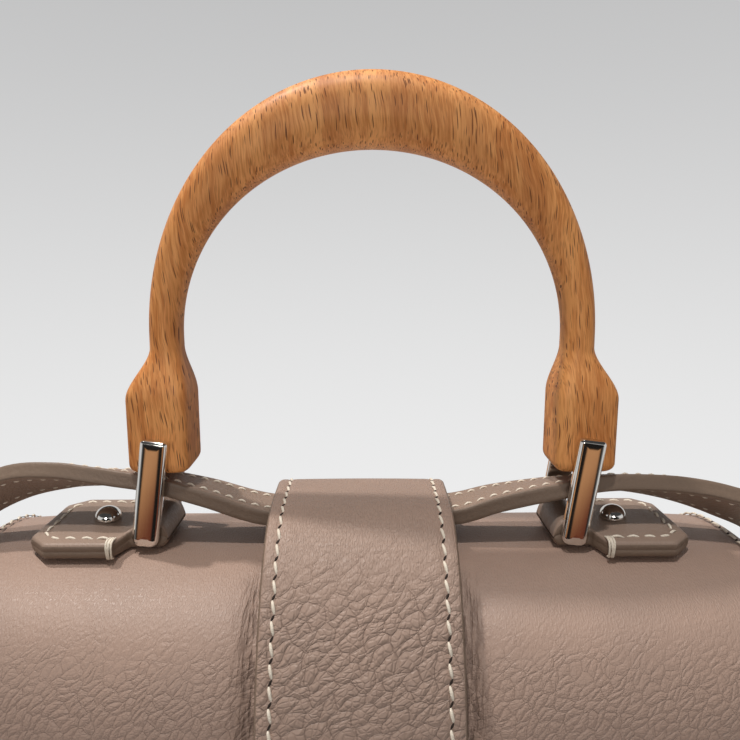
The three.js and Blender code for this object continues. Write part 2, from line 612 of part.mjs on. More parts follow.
handle.position.set(LOOP_LENGTH * Math.sin(LOOP_LEAN), 0, barZ + LOOP_LENGTH * Math.cos(LOOP_LEAN));

// Shoulder strap: through the band's tunnel and both loops, down past the ends of the bag and
// flat on the ground behind it, where its ends lap. A point of the top runs holds its place
// between band, loop (0) and end of the bag (1), then Y, height above the ridge and the tilt
// of the strap's front edge in degrees.
function runX(t) {
  const inner = PIVOT_HALF_SPACING - BAND_WIDTH / 2;
  return PIVOT_HALF_SPACING + t * (t < 0 ? inner : HALF_WIDTH - PIVOT_HALF_SPACING);
}
function topStations(run, side) {
  return run.map(([t, y, height, tilt]) => {
    const a = THREE.MathUtils.degToRad(tilt);
    return { p: new THREE.Vector3(side * runX(t), y, RIDGE_Z + height),
      w: new THREE.Vector3(0, -Math.cos(a), Math.sin(a)) };
  });
}
const leftTop = [[-0.95, 0, STRAP_CREST, 0], [-0.42, 0, 12.1, 4], [0, 0, 15.3, 10], [0.18, 0, 16.1, 16],
  [0.32, 0, 16.5, 22], [0.5, 0, 16.8, 30], [0.77, 0, 14.7, 42], [1.04, -2, 7, 46]];
const rightTop = [[-0.95, 0, STRAP_CREST, 0], [-0.58, 0, 10.25, 4], [0, 0, 13.4, 12], [0.18, 0, 14.35, 17],
  [0.355, 0, 14.3, 20], [0.62, 0, 12.6, 28], [0.867, -1, 9.4, 37], [1.08, -3, 5, 46]];

// A point of the falling run holds its way in from the reach, Y, share of the ridge's height and
// the direction of the same edge, out from the bag, across and up
const fall = [[6, -6, 0.92, 0.25, -0.9, 0.3], [2.5, -9, 0.773, 0.35, -0.93, 0.12],
  [1, -10, 0.587, 0.62, -0.78, 0], [0.4, -7, 0.387, 0.88, -0.48, 0], [0, 1, 0.213, 1, -0.1, 0],
  [0, 15, 0.087, 1, 0, 0]];
function fallStations(side) {
  return fall.map(([inward, y, share, wx, wy, wz]) => (
    { p: new THREE.Vector3(side * (STRAP_REACH - inward), y, share * RIDGE_Z),
      w: new THREE.Vector3(side * wx, wy, wz) }));
}

// On the ground the strap turns in behind the bag, and one end climbs on to the other
function groundStations(side, lift) {
  const z = 2 * GAP + STRAP_THICKNESS / 2;
  const cx = STRAP_REACH - STRAP_CORNER_RADIUS;
  const cy = STRAP_BACK_Y - STRAP_CORNER_RADIUS;
  const outward = new THREE.Vector3(side, 0, 0);
  const back = new THREE.Vector3(0, 1, 0);
  const stations = [{ p: new THREE.Vector3(side * STRAP_REACH, STRAP_TOUCH_Y, z + GAP), w: outward }];
  const TURN_STEPS = 4;
  for (let i = 0; i <= TURN_STEPS; i += 1) {
    const a = i / TURN_STEPS * Math.PI / 2;
    const out = new THREE.Vector3(side * Math.cos(a), Math.sin(a), 0);
    const p = new THREE.Vector3(side * cx, cy, z).addScaledVector(out, STRAP_CORNER_RADIUS);
    stations.push({ p, w: out });
  }
  const shoulder = STRAP_LAP / 2 + STRAP_LAP_SHOULDER;
  const lapped = [[shoulder + STRAP_LAP_RAMP, lift / 4], [shoulder, lift], [0, lift], [-STRAP_LAP / 2, lift]];
  lapped.forEach(([x, rise]) => {
    stations.push({ p: new THREE.Vector3(side * x, STRAP_BACK_Y, z + rise), w: back });
  });
  return stations;
}
const lowerLap = STRAP_SCREW_RIM + GAP;
const upperLap = lowerLap + STRAP_THICKNESS + GAP;

function strapGeometry() {
  const left = [...topStations(leftTop, -1), ...fallStations(-1), ...groundStations(-1, upperLap)];
  const right = [...topStations(rightTop, 1), ...fallStations(1), ...groundStations(1, lowerLap)];
  const crest = { p: new THREE.Vector3(0, 0, RIDGE_Z + STRAP_CREST), w: new THREE.Vector3(0, -1, 0) };
  const stations = [...right.reverse(), crest, ...left];
  const path = new THREE.CatmullRomCurve3(stations.map((s) => s.p), false, 'centripetal');
  const edge = new THREE.CatmullRomCurve3(stations.map((s) => s.w), false, 'centripetal');
  const PER_SPAN = 2;
  const steps = (stations.length - 1) * PER_SPAN;
  const half = STRAP_WIDTH / 2;
  const thin = STRAP_THICKNESS / 2;
  const corner = [[half, thin - STRAP_CHAMFER], [half - STRAP_CHAMFER, thin]];
  const topEdge = [...corner, ...corner.map(([u, v]) => [-u, v]).reverse()];
  const section = [...topEdge, ...topEdge.map(([u, v]) => [-u, -v])];
  const rings = Array.from({ length: steps + 1 }, (_, i) => {
    const t = i / steps;
    const along = path.getTangent(t);
    const across = edge.getPoint(t);
    across.addScaledVector(along, -across.dot(along)).normalize();
    const face = new THREE.Vector3().crossVectors(along, across);
    return section.map(([u, v]) => (
      path.getPoint(t).addScaledVector(across, u).addScaledVector(face, v)));
  });
  const holes = sides.map(([, side]) => roundBarZ(
    STRAP_SCREW_SHANK / 2 + GAP, side * STRAP_SCREW_PITCH / 2, STRAP_BACK_Y, 0, 4 * STRAP_THICKNESS));
  return cut(loft(rings), ...holes);
}
place('shoulder_strap', strapGeometry(), smoothLeather);

// Two screw posts hold the strap's lapped ends
const lapTop = upperLap + STRAP_THICKNESS + 3 * GAP;
for (const [name, side] of sides) {
  const head = STRAP_SCREW_HEAD / 2;
  const shank = STRAP_SCREW_SHANK / 2;
  const profile = [[0, 0], [head, 0], [head, STRAP_SCREW_RIM], [shank, STRAP_SCREW_RIM], [shank, lapTop],
    [head, lapTop], [head, lapTop + STRAP_SCREW_RIM], [0, lapTop + STRAP_SCREW_RIM]];
  const post = place(`strap_screw_${name}`, turned(profile), nickel);
  post.position.set(side * STRAP_SCREW_PITCH / 2, STRAP_BACK_Y, GAP);
}

export default bag;
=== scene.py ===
import math

import bpy
import numpy as np
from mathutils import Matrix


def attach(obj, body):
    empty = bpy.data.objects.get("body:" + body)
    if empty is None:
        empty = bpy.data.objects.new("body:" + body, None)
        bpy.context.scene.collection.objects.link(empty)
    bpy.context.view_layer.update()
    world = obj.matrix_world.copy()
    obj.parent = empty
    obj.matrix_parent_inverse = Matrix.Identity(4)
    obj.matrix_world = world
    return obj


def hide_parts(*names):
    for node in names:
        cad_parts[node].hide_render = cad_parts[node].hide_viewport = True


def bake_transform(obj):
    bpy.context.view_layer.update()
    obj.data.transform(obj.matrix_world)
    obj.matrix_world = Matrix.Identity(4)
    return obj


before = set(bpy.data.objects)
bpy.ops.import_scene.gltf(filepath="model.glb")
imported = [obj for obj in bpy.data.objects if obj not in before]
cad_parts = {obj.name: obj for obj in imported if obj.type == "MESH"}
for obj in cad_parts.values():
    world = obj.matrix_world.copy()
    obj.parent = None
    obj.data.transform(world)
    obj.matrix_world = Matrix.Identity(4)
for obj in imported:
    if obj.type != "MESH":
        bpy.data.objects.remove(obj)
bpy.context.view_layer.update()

# Camera: held a hand's breadth above the top of the bag and looking slightly down on to it,
# with the wide lens of a phone.
camera = bpy.data.objects.new("camera", bpy.data.cameras.new("camera"))
camera.data.lens = 33.86
camera.data.sensor_width = 36
camera.data.clip_start = 0.01
camera.location = (0.0008, -0.1778, 0.2244)
camera.rotation_euler = (math.radians(80.15), 0, math.radians(-0.5))
bpy.context.collection.objects.link(camera)
bpy.context.scene.camera = camera


# Base board: a stiff fibre board between the base leather and the lining, which keeps the
# underside flat. It is cut from pressed sheet and glued in.
class Tone:
    """A socket in a material's nodes; sums on tones add Math nodes."""

    def __init__(self, tree, socket=None):
        self.tree = tree
        self.socket = socket

    def node(self, kind, settings=None, sockets=None, out=0):
        made = self.tree.nodes.new(kind)
        for key, value in (settings or {}).items():
            setattr(made, key, value)
        for key, value in (sockets or {}).items():
            if isinstance(value, Tone):
                self.tree.links.new(value.socket, made.inputs[key])
            else:
                made.inputs[key].default_value = value
        return Tone(self.tree, made.outputs[out] if len(made.outputs) else None)

    def sum(self, operation, first, second):
        return self.node("ShaderNodeMath", {"operation": operation}, {0: first, 1: second})

    def __add__(self, other):
        return self.sum("ADD", self, other)

    def __radd__(self, other):
        return self.sum("ADD", other, self)

    def __sub__(self, other):
        return self.sum("SUBTRACT", self, other)

    def __rsub__(self, other):
        return self.sum("SUBTRACT", other, self)

    def __mul__(self, other):
        return self.sum("MULTIPLY", self, other)

    def __rmul__(self, other):
        return self.sum("MULTIPLY", other, self)

    def __abs__(self):
        return self.sum("ABSOLUTE", self, 0.0)


def tint(red, green, blue):
    """A colour as seen on a screen, from 0 to 255, as the light it stands for."""
    def light(value):
        v = value / 255
        return v / 12.92 if v <= 0.04045 else ((v + 0.055) / 1.055) ** 2.4
    return (light(red), light(green), light(blue), 1)


def start_finish(name, **uniform):
    """A new material: itself, a tone to grow nodes from, and its main shader."""
    material = bpy.data.materials.new(name)
    material.use_nodes = True
    shader = material.node_tree.nodes["Principled BSDF"]
    for socket, value in uniform.items():
        shader.inputs[socket.replace("_", " ")].default_value = value
    return material, Tone(material.node_tree), shader


def feed(shader, **tones):
    for socket, tone in tones.items():
        tone.tree.links.new(tone.socket, shader.inputs[socket.replace("_", " ")])


def ease(tone, low, high):
    """From 0 at low to 1 at high, without a corner."""
    return tone.node("ShaderNodeMapRange", {"interpolation_type": "SMOOTHSTEP"},
                     {"Value": tone, "From Min": low, "From Max": high})


def shift(factor, first, second):
    """One colour turning into another."""
    return factor.node("ShaderNodeMix", {"data_type": "RGBA"},
                       {0: factor, 6: first, 7: second}, 2)


def raise_by(height, depth):
    """A surface whose relief is depth metres from lowest to highest."""
    return height.node("ShaderNodeBump", {},
                       {"Height": height, "Strength": 1.0, "Distance": depth})


def noise(place, scale, detail, out=0):
    """Cloudy noise from 0 to 1, or with out=1 another noise in each direction."""
    return place.node("ShaderNodeTexNoise", {},
                      {"Vector": place, "Scale": scale, "Detail": detail}, out)


def speckle(place, size, detail=2.0):
    """Cloudy noise with lumps of about that size in millimetres."""
    return noise(place, 1000 / size, detail)


def own_place(tone):
    """A point's place in the piece's own frame, in metres."""
    return tone.node("ShaderNodeTexCoord", out=3)


def finish_solid(node, finish):
    """A CAD solid that stays in view, under a finish of this scene."""
    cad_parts[node].data.materials.clear()
    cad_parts[node].data.materials.append(finish)


board_finish, tone, shader = start_finish("pressed fibre board", Roughness=0.9)
fibres = speckle(own_place(tone), 1.2, 4)
feed(shader, Base_Color=shift(fibres, tint(118, 100, 80), tint(158, 138, 112)),
     Normal=raise_by(fibres, 0.0002))
finish_solid("base_board", board_finish)


# Base panel: the leather under the bag, cut from the same hide as the walls and stitched to
# them along both long edges.
MM = 0.001
RIDGE = 148.5
WALL = 100
HALF_WIDTH = 103.5
HALF_DEPTH = 44.5
FRONT_DEPTH = 40.1
CORNER = 8
HIDE = 2.6


def smooth(t):
    u = np.clip(t, 0, 1)
    return u * u * (3 - 2 * u)


def make(name, points, faces, finishes, marks=None, flat=None):
    """A mesh object from points in millimetres; flat is each point's place on the cut leather."""
    mesh = bpy.data.meshes.new(name)
    mesh.from_pydata((np.asarray(points, float) * MM).tolist(), [],
                     [list(map(int, f)) for f in faces])
    mesh.polygons.foreach_set("use_smooth", [True] * len(mesh.polygons))
    for finish in finishes:
        mesh.materials.append(finish)
    if marks is not None:
        mesh.polygons.foreach_set("material_index", np.asarray(marks, np.int32))
    if flat is not None:
        layer = mesh.attributes.new("flat", "FLOAT_VECTOR", "POINT")
        layer.data.foreach_set("vector", (np.asarray(flat, float) * MM).astype(np.float32).ravel())
    mesh.update()
    piece = bpy.data.objects.new(name, mesh)
    bpy.context.collection.objects.link(piece)
    return piece


def grid_faces(rows, columns):
    i, j = np.meshgrid(np.arange(rows - 1), np.arange(columns - 1), indexing="ij")
    a = (i * columns + j).ravel()
    return np.stack([a, a + 1, a + columns + 1, a + columns], 1)


def cut_leather(name, outer, inner, normal, faces, flat, finishes, bulge=0.5):
    """A closed piece of leather: outer face, inner face and a rounded, painted edge."""
    outer, inner, normal = (np.asarray(a, float).reshape(-1, 3) for a in (outer, inner, normal))
    normal = np.broadcast_to(normal, outer.shape)
    flat, faces = np.asarray(flat, float).reshape(-1, 3), np.asarray(faces)
    a, b, c = (outer[faces[:, k]] for k in (0, 1, 2))
    if (np.cross(b - a, c - b) * normal[faces[:, 0]]).sum() < 0:
        faces = faces[:, ::-1]
    count = len(outer)
    width = faces.shape[1]
    edges = {(f[k], f[(k + 1) % width]) for f in faces.tolist() for k in range(width)}
    rim = sorted(e for e in edges if (e[1], e[0]) not in edges)
    outward = np.zeros_like(outer)
    for p, q in rim:
        way = np.cross(outer[q] - outer[p], normal[p] + normal[q])
        way /= np.linalg.norm(way) + 1e-12
        outward[p] += way
        outward[q] += way
    around = sorted({p for e in rim for p in e})
    spot = {p: k for k, p in enumerate(around)}
    outward = outward[around] / (np.linalg.norm(outward[around], axis=1, keepdims=True) + 1e-12)
    middle = (outer[around] + inner[around]) / 2
    half = (outer[around] - inner[around]) / 2
    turns = 5
    rings, ring_flat = [], []
    for k in range(1, turns):
        angle = math.pi * k / turns
        rings.append(middle + half * math.cos(angle) + outward * bulge * math.sin(angle))
        ring_flat.append(flat[around] + [0, 0, -2.0 * k / turns])

    def at(p, k):
        if k in (0, turns):
            return p + (count if k else 0)
        return 2 * count + (k - 1) * len(around) + spot[p]
    walls = [(at(q, k), at(p, k), at(p, k + 1), at(q, k + 1))
             for p, q in rim for k in range(turns)]
    points = np.vstack([outer, inner, *rings])
    all_flat = np.vstack([flat, flat + [0, 0, -9.0], *ring_flat])
    marks = [0] * len(faces) + [1] * len(faces) + [2] * len(walls)
    polygons = faces.tolist() + (faces[:, ::-1] + count).tolist() + walls
    return make(name, points, polygons, finishes, marks, all_flat)


def in_millimetres(place):
    return place.node("ShaderNodeVectorMath", {"operation": "SCALE"}, {0: place, "Scale": 1000.0})


def flat_place(tone):
    """Place on the cut leather in millimetres: across, along from the ridge, and through it."""
    return in_millimetres(tone.node("ShaderNodeAttribute", {"attribute_name": "flat"}, out=1))


def measure(place, axis):
    """One of a place's three measures."""
    return place.node("ShaderNodeSeparateXYZ", {}, {0: place}, axis)


def astray(place, scale, reach):
    """A place pushed about by slow noise."""
    return place.node("ShaderNodeVectorMath", {"operation": "MULTIPLY_ADD"},
                      {0: noise(place, scale, 2.0, 1), 1: reach, 2: place})


def laid_out(place, wide, long, slant):
    """The leather's place, with lumps that wide and drawn out at a slant."""
    return place.node("ShaderNodeMapping", {"vector_type": "TEXTURE"},
                      {"Vector": place, "Rotation": (0, 0, slant), "Scale": (long, wide, wide)})


def pebbles(place, wide, long, slant, scatter=1.0):
    """Distance from the creases between pebbles, which lie at a slant."""
    return place.node("ShaderNodeTexVoronoi",
                      {"feature": "DISTANCE_TO_EDGE", "voronoi_dimensions": "2D"},
                      {"Vector": laid_out(place, wide, long, slant), "Scale": 1.0,
                       "Randomness": scatter})


def flecks(place, wide, long, slant, detail=2.0):
    """Uneven flecks, each that wide and long, at a slant."""
    return place.node("ShaderNodeTexNoise", {"noise_dimensions": "2D"},
                      {"Vector": laid_out(place, wide, long, slant), "Scale": 1.0,
                       "Detail": detail})


def grained_leather(name, colour, crease, size, slant, calm, relief, gloss, drawn_in=None):
    """Full-grain leather: fine near the ridge, with ever stronger slanting pebbles below.

    Beside a strip of half-width drawn_in it is gathered into upright wrinkles. The hollows
    between them, the creases and the hollows of the small pebbles are darkened as painted shade.
    """
    material, tone, shader = start_finish(name, Specular_IOR_Level=0.45)
    place = flat_place(tone)
    along = abs(measure(place, 1))
    coarse = ease(along, *calm)
    full = ease(coarse + (flecks(place, 4.0, 7.0, slant) - 0.5) * 0.7, 0.06, 0.95)
    drift = astray(place, 0.125, (4.0, 4.0, 4.0))
    cells = pebbles(drift, size, size * 1.95, slant, 0.85)
    crack, pillow = 1 - ease(cells, 0.0, 0.05), ease(cells, 0.0, 0.35)
    small = ease(pebbles(drift, size * 0.42, size * 0.63, slant * 0.5), 0.0, 0.25)
    grit = ease(flecks(place, 0.42, 1.0, math.pi / 2), 0.4, 0.66)
    height = full * (pillow * 0.5 + small * 0.2 - crack * 0.2) + (1 - coarse) * grit * 0.25
    # Painted shade: the colour is darkened in the creases and in the hollows of the small pebbles.
    dark = full * (crack * 0.35 + (1 - small) * 0.1)
    if drawn_in:
        gathered = ease(abs(measure(place, 0)), drawn_in + 8.0, drawn_in + 1.0)
        gathered = gathered * ease(along, 14.0, 26.0) * ease(along, 150.0, 120.0)
        wrinkle = ease(flecks(place, 0.9, 6.0, math.pi / 2 + 0.06, 3.0), 0.36, 0.6)
        height = height + gathered * wrinkle * 0.8
        # Painted shade: the hollows between the gathered wrinkles are darkened.
        dark = dark + gathered * (1 - wrinkle) * 0.6
    faded = tuple(c * k for c, k in zip(colour, (1.08, 1.07, 1.06, 1)))
    dye = shift(ease(noise(place, 0.045, 3.0), 0.3, 0.72), colour, faded)
    # Towards the crease colour where dark is high: painted shade.
    feed(shader, Base_Color=shift(dark, dye, crease),
         Roughness=gloss + 0.2 * dark + (1 - grit) * 0.1, Normal=raise_by(height, relief))
    return material


# The second colour is the crease colour: painted shade in the creases and hollows.
HIDE_GRAIN = tint(162, 137, 123), tint(104, 84, 73), 1.65, -0.75, (19, 60), 0.00026, 0.42
hide_finish = grained_leather("taupe hide", *HIDE_GRAIN)


def plain_leather(name, colour, relief, gloss):
    """Leather seen from the flesh side or along a painted edge, with only a faint relief."""
    material, tone, shader = start_finish(name, Specular_IOR_Level=0.4)
    place = own_place(tone)
    lumps = speckle(place, 0.9, 4)
    clouds = speckle(place, 9, 3)
    dark = tuple(c * 0.72 for c in colour[:3]) + (1,)
    feed(shader, Base_Color=shift(clouds * 0.6 + lumps * 0.4, dark, colour),
         Roughness=gloss + 0.2 * lumps, Normal=raise_by(lumps, relief))
    return material


edge_finish = plain_leather("burnished edge", tint(134, 114, 98), 0.00012, 0.38)
flesh_finish = plain_leather("flesh side", tint(128, 106, 88), 0.0003, 0.75)
hide_sides = [hide_finish, flesh_finish, edge_finish]

BASE_SEAMS = {"front": -28.3, "back": 32.5}
base_x = np.linspace(-HALF_WIDTH + 0.6, HALF_WIDTH - 0.6, 60)
base_y = np.concatenate([[-31.9, -31.4, -30.6], np.linspace(-29.6, 34, 22), [35, 35.8, 36.3]])
grid_x, grid_y = np.meshgrid(base_x, base_y)
channel = sum(np.exp(-((grid_y - seam_y) / 1.1) ** 2) for seam_y in BASE_SEAMS.values())
sag = 0.35 * smooth((np.abs(grid_x) - 60) / 40) + 0.85 * channel
under = np.stack([grid_x, grid_y, sag], -1)
base_panel = cut_leather("base_leather", under, under * [1, 1, 0] + [0, 0, HIDE], [0, 0, -1],
                         grid_faces(*grid_x.shape),
                         np.stack([grid_x, grid_y + 90, grid_x * 0], -1), hide_sides)
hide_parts("base_panel")
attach(base_panel, "bag")


# Thread: waxed linen in saddle stitches, each one slanted between two holes made by a diamond
# awl. Each hole shows as a dark slit between the stitches, a small dark piece of painted shade.
THREAD = 0.43
STITCH = 4.4
thread_finish, tone, shader = start_finish("waxed cream thread", Roughness=0.62)
twist = speckle(own_place(tone), 0.35)
feed(shader, Base_Color=shift(twist, tint(208, 193, 172), tint(247, 239, 225)),
     Normal=raise_by(twist, 0.00012))
# Painted shade: the near-black colour of the small pieces set into the holes.
painted_hole_shade_finish, tone, shader = start_finish("painted shade in stitch hole", Roughness=0.95)
feed(shader, Base_Color=shift(speckle(own_place(tone), 0.4), tint(30, 23, 19), tint(52, 41, 34)))


def distances(line):
    """How far along a line each of its points lies."""
    return np.concatenate([[0], np.cumsum(np.linalg.norm(np.diff(line, axis=0), axis=1))])


def tube_faces(first, rings, sides):
    """Faces along a tube whose rings of points follow one another from first on."""
    ring, corner = np.divmod(np.arange((rings - 1) * sides), sides)
    a, b = (first + ring * sides + k % sides for k in (corner, corner + 1))
    return np.stack([a, b, b + sides, a + sides], 1).tolist()


def saddle_stitches(name, line, across, normal, pitch=STITCH, length=0.8, slant=0.36,
                    thread=THREAD, slits=True):
    """Stitches along a line of points, with the direction across it and away from the leather."""
    line = np.asarray(line, float)
    across, normal = (np.broadcast_to(np.asarray(a, float), line.shape) for a in (across, normal))
    run = distances(line)
    count = int(run[-1] // pitch)
    spare = (run[-1] - count * pitch) / 2

    def at(values, distance):
        return np.array([np.interp(distance, run, values[:, k]) for k in range(3)])
    points, faces, marks = [], [], []
    sides, rings = 6, 5
    corner = np.arange(sides) / sides * 2 * math.pi
    for i in range(count):
        begin = spare + i * pitch + pitch * (1 - length) / 2
        end = begin + pitch * length
        # The second run is the dark piece in the hole, which is painted shade.
        runs = [(begin, pitch * length, slant, thread, 0.24),
                (end - 0.2, pitch * (1 - length) + 0.4, -slant, thread * 0.8, 0.03)]
        for mark, (start, span, lean, radius, lift) in enumerate(runs if slits else runs[:1]):
            first = len(points)
            for r in range(rings):
                t = r / (rings - 1)
                d = start + span * t
                up, side = at(normal, d), at(across, d)
                arch = math.sin(math.pi * t)
                swell = radius * (0.5 + 0.5 * arch ** 0.5)
                height = lift * (2 * arch - 1) if mark == 0 else lift
                centre = at(line, d) + side * lean * (2 * t - 1) + up * height
                flatten = 0.8 if mark == 0 else 0.3
                points.extend(centre + side * swell * math.cos(c)
                              + up * swell * flatten * math.sin(c) for c in corner)
            walls = tube_faces(first, rings, sides)
            last = first + (rings - 1) * sides
            faces += walls + [range(first + sides - 1, first - 1, -1), range(last, last + sides)]
            marks += [mark] * (len(walls) + 2)
    piece = make(name, points, faces, [thread_finish, painted_hole_shade_finish], marks)
    return piece


for label, seam_y in BASE_SEAMS.items():
    seam = np.stack([base_x, np.full_like(base_x, seam_y), np.full_like(base_x, 1.0)], 1)
    stitches = saddle_stitches(f"base_stitches_{label}", seam, [0, 1, 0], [0, 0, -1])
    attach(stitches, "bag")


# Gussets: the two end walls, sewn in behind the edges of the wrap. They fold in a little towards
# the top, as a soft end does when the bag stands empty.
ROUNDNESS = 2.7
BOTH_SIDES = (("left", -1), ("right", 1))


def squared_off(values, power):
    """Sines or cosines of a circle, turned into those of a rounded square."""
    return np.sign(values) * np.abs(values) ** (2 / power)


def top_curve():
    """Outer line of the top in the Y-Z plane, from the back wall over the ridge to the front."""
    angle = np.linspace(0, math.pi, 4001)
    return np.stack([HALF_DEPTH * squared_off(np.cos(angle), ROUNDNESS),
                     WALL + (RIDGE - WALL) * squared_off(np.sin(angle), ROUNDNESS)], 1)


def even_line(line, step):
    """The same line with even steps, its outward normals and the distance along it."""
    run = distances(line)
    places = np.linspace(0, run[-1], int(round(run[-1] / step)) + 1)
    y, z = np.interp(places, run, line[:, 0]), np.interp(places, run, line[:, 1])
    ty, tz = np.gradient(y, places), np.gradient(z, places)
    size = np.hypot(ty, tz)
    return y, z, tz / size, -ty / size, places


def lower_corner(sign, depth):
    """Rounded corner from the base up to the back wall, or with sign -1 to the front."""
    angle = np.linspace(0, math.pi / 2, 30)
    return np.stack([sign * (depth - CORNER + CORNER * np.sin(angle)),
                     CORNER - CORNER * np.cos(angle)], 1)


GUSSET = 2.2
GUSSET_X = HALF_WIDTH - 2.2
GUSSET_MID = (1.5, 72.0)
FOLD_SPREAD = 24
SEWN_IN = 3.1
back_half = np.vstack([lower_corner(1, HALF_DEPTH), top_curve()])
outline_y, outline_z, normal_y, normal_z, _ = even_line(back_half, 3.0)
inset = np.where((outline_z > WALL) & (outline_y < -32), 4.9, SEWN_IN)
keep = ~((outline_y < 0) & (outline_z < 99))
rim_y, rim_z = (outline_y - normal_y * inset)[keep], (outline_z - normal_z * inset)[keep]
front_line = lower_corner(-1, FRONT_DEPTH - SEWN_IN)[::-1] + [0, SEWN_IN]
front_z = np.linspace(94, 12, 28)
rim_y = np.concatenate([rim_y, np.full_like(front_z, SEWN_IN - FRONT_DEPTH), front_line[:, 0]])
rim_z = np.concatenate([rim_z, front_z, front_line[:, 1]])
rings = np.append(np.linspace(1, 0.06, 17), 0.002)[:, None]
y, z = (mid + (rim - mid) * rings for mid, rim in zip(GUSSET_MID, (rim_y, rim_z)))
columns = len(rim_y)
ring, column = np.divmod(grid_faces(len(rings), columns + 1), columns + 1)
gusset_faces = ring * columns + column % columns
fold_in = np.exp(-((y - GUSSET_MID[0]) / FOLD_SPREAD) ** 2)
fold = smooth((1 - rings) / 0.75) * (0.5 + 1.5 * smooth((z - 30) / 80)) * fold_in
ripple = 0.25 * np.sin(z / 11 + y / 17) * smooth((1 - rings) / 0.4)
x = GUSSET_X - fold - ripple * 0.6
for label, side in BOTH_SIDES:
    outer = np.stack([side * x, y, z], -1)
    inner = np.stack([side * (x - GUSSET + 0.2), y, z], -1)
    gusset = cut_leather(f"gusset_leather_{label}", outer, inner, [side, 0, 0], gusset_faces,
                         np.stack([y, 190 - z, y * 0], -1), hide_sides, 0.1)
    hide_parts(f"gusset_{label}")
    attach(gusset, "bag")


# Front panel: stands behind the flap, turned in at the mouth and stitched along it. It carries
# the base of the turn lock.
LOCK_Z = 46.5
MOUTH_HEM = 90.6


def sheet(across, y, z, ny, nz):
    """A sheet laid along a line in the Y-Z plane: its points and their normals."""
    xx, yy = np.meshgrid(across, y)
    zz, nyy, nzz = (xx * 0 + v[:, None] for v in (z, ny, nz))
    return np.stack([xx, yy, zz], -1), np.stack([xx * 0, nyy, nzz], -1)


front_path = np.vstack([lower_corner(-1, FRONT_DEPTH), [[-FRONT_DEPTH, 94.6]]])
y, z, ny, nz, along = even_line(front_path, 2.2)
inset = np.array([0.6, 1.1, 1.8, 2.6, 3.6, 5.0])
front_x = np.concatenate([inset - HALF_WIDTH, np.linspace(8 - HALF_WIDTH, HALF_WIDTH - 8, 45),
                          HALF_WIDTH - inset[::-1]])
skin, normal = sheet(front_x, y, z, -ny, -nz)
xx, yy, zz = np.moveaxis(skin, -1, 0)
lock_flat = smooth((np.hypot(xx, zz - LOCK_Z) - 14) / 10)
puff = 0.7 * np.cos(xx / HALF_WIDTH * math.pi / 2) ** 0.5
puff = puff * np.sin(np.clip((zz - 8) / 85, 0, 1) * math.pi) * lock_flat
puff = np.minimum(puff, np.where(zz > 60, 0.25, 1.0))
roll = 0.7 * smooth((np.abs(xx) - HALF_WIDTH + 2.4) / 2) ** 2 + 0.3 * smooth((zz - 93.4) / 1.2)
dip = 0.3 * np.exp(-((zz - MOUTH_HEM) / 0.8) ** 2)
front_panel = cut_leather("front_leather", skin + normal * (puff - roll - dip)[..., None],
                          skin - normal * HIDE, normal, grid_faces(*xx.shape),
                          np.stack([xx, xx * 0 + 140 - along[:, None], xx * 0], -1), hide_sides)
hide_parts("front_panel")
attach(front_panel, "bag")
hem_x = np.linspace(6 - HALF_WIDTH, HALF_WIDTH - 6, 80)
hem = np.stack([hem_x, np.full(80, -FRONT_DEPTH + 0.15), np.full(80, MOUTH_HEM)], 1)
stitches = saddle_stitches("mouth_stitches", hem, [0, 0, 1], [0, -1, 0])
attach(stitches, "bag")


# Hide: one skin runs up the back, over the rounded top and down the front as the flap. It rounds
# in under the central band, and its side edges are painted and saddle-stitched.
FLAP_EDGE = 66
BAND_HALF = 22.85
SEAM_IN = 3.8
wrap_finish = grained_leather("taupe hide, gathered", *HIDE_GRAIN, BAND_HALF)
hide_path = np.vstack([lower_corner(1, HALF_DEPTH), top_curve(), [[-HALF_DEPTH, FLAP_EDGE + 0.5]]])
y, z, ny, nz, along = even_line(hide_path, 2.2)


def from_ridge(y, z, along):
    """Distances along a line, counted from where it crosses the ridge."""
    return along - along[int(np.argmin(np.abs(y) + (z < WALL) * 1000))]


along = from_ridge(y, z, along)
half_x = np.concatenate([
    [0, 7, 14],
    BAND_HALF + np.array([-4.5, -2, -0.5, 0.3, 1.1, 2, 3, 4.2, 5.7, 8, 11.5, 16.5]),
    np.linspace(45, HALF_WIDTH - 14, 9),
    HALF_WIDTH - np.array([10, 7, 5, 4.3, 3.8, 3.3, 2.6, 1.8, 1.2, 0.8, 0.5])])
hide_x = np.concatenate([-half_x[:0:-1], half_x])
skin, normal = sheet(hide_x, y, z, ny, nz)
xx, yy, zz = np.moveaxis(skin, -1, 0)
ss = xx * 0 + along[:, None]
ax = np.abs(xx)
walls = smooth((np.abs(ss) - 17) / 24)
beside_band = smooth((np.abs(ss) - 12) / 16)
from_band = ax - BAND_HALF - 0.3
groove = 2.1 * np.exp(-(from_band / 2.3) ** 2) + np.exp(-((from_band - 1.2) / 6) ** 2)
groove = groove * beside_band
groove = np.where(from_band < 0, np.maximum(groove, 2.0 * beside_band), groove)
groove = np.minimum(groove, HIDE - 0.3)
tail = 0.9 * smooth((ax - 82) / 20) * (1 - walls)
walls = walls * smooth((zz - 4) / 14)
padding = 0.8 * np.sin(np.clip((ax - 26) / (HALF_WIDTH - 28), 0, 1) * math.pi) ** 0.7 * walls
lumps = 0.16 * (np.sin(xx / 13 + ss / 17) + np.sin(xx / 21 - ss / 12 + 1.3))
lumps = lumps * walls * smooth((ax - 28) / 8)
roll = smooth((ax - HALF_WIDTH + 2.8) / 2.6) ** 2
roll = roll + 0.5 * smooth((ss - ss.max() + 2.5) / 2.5) ** 2
dip = 0.3 * np.exp(-((ax - HALF_WIDTH + SEAM_IN) / 0.7) ** 2)
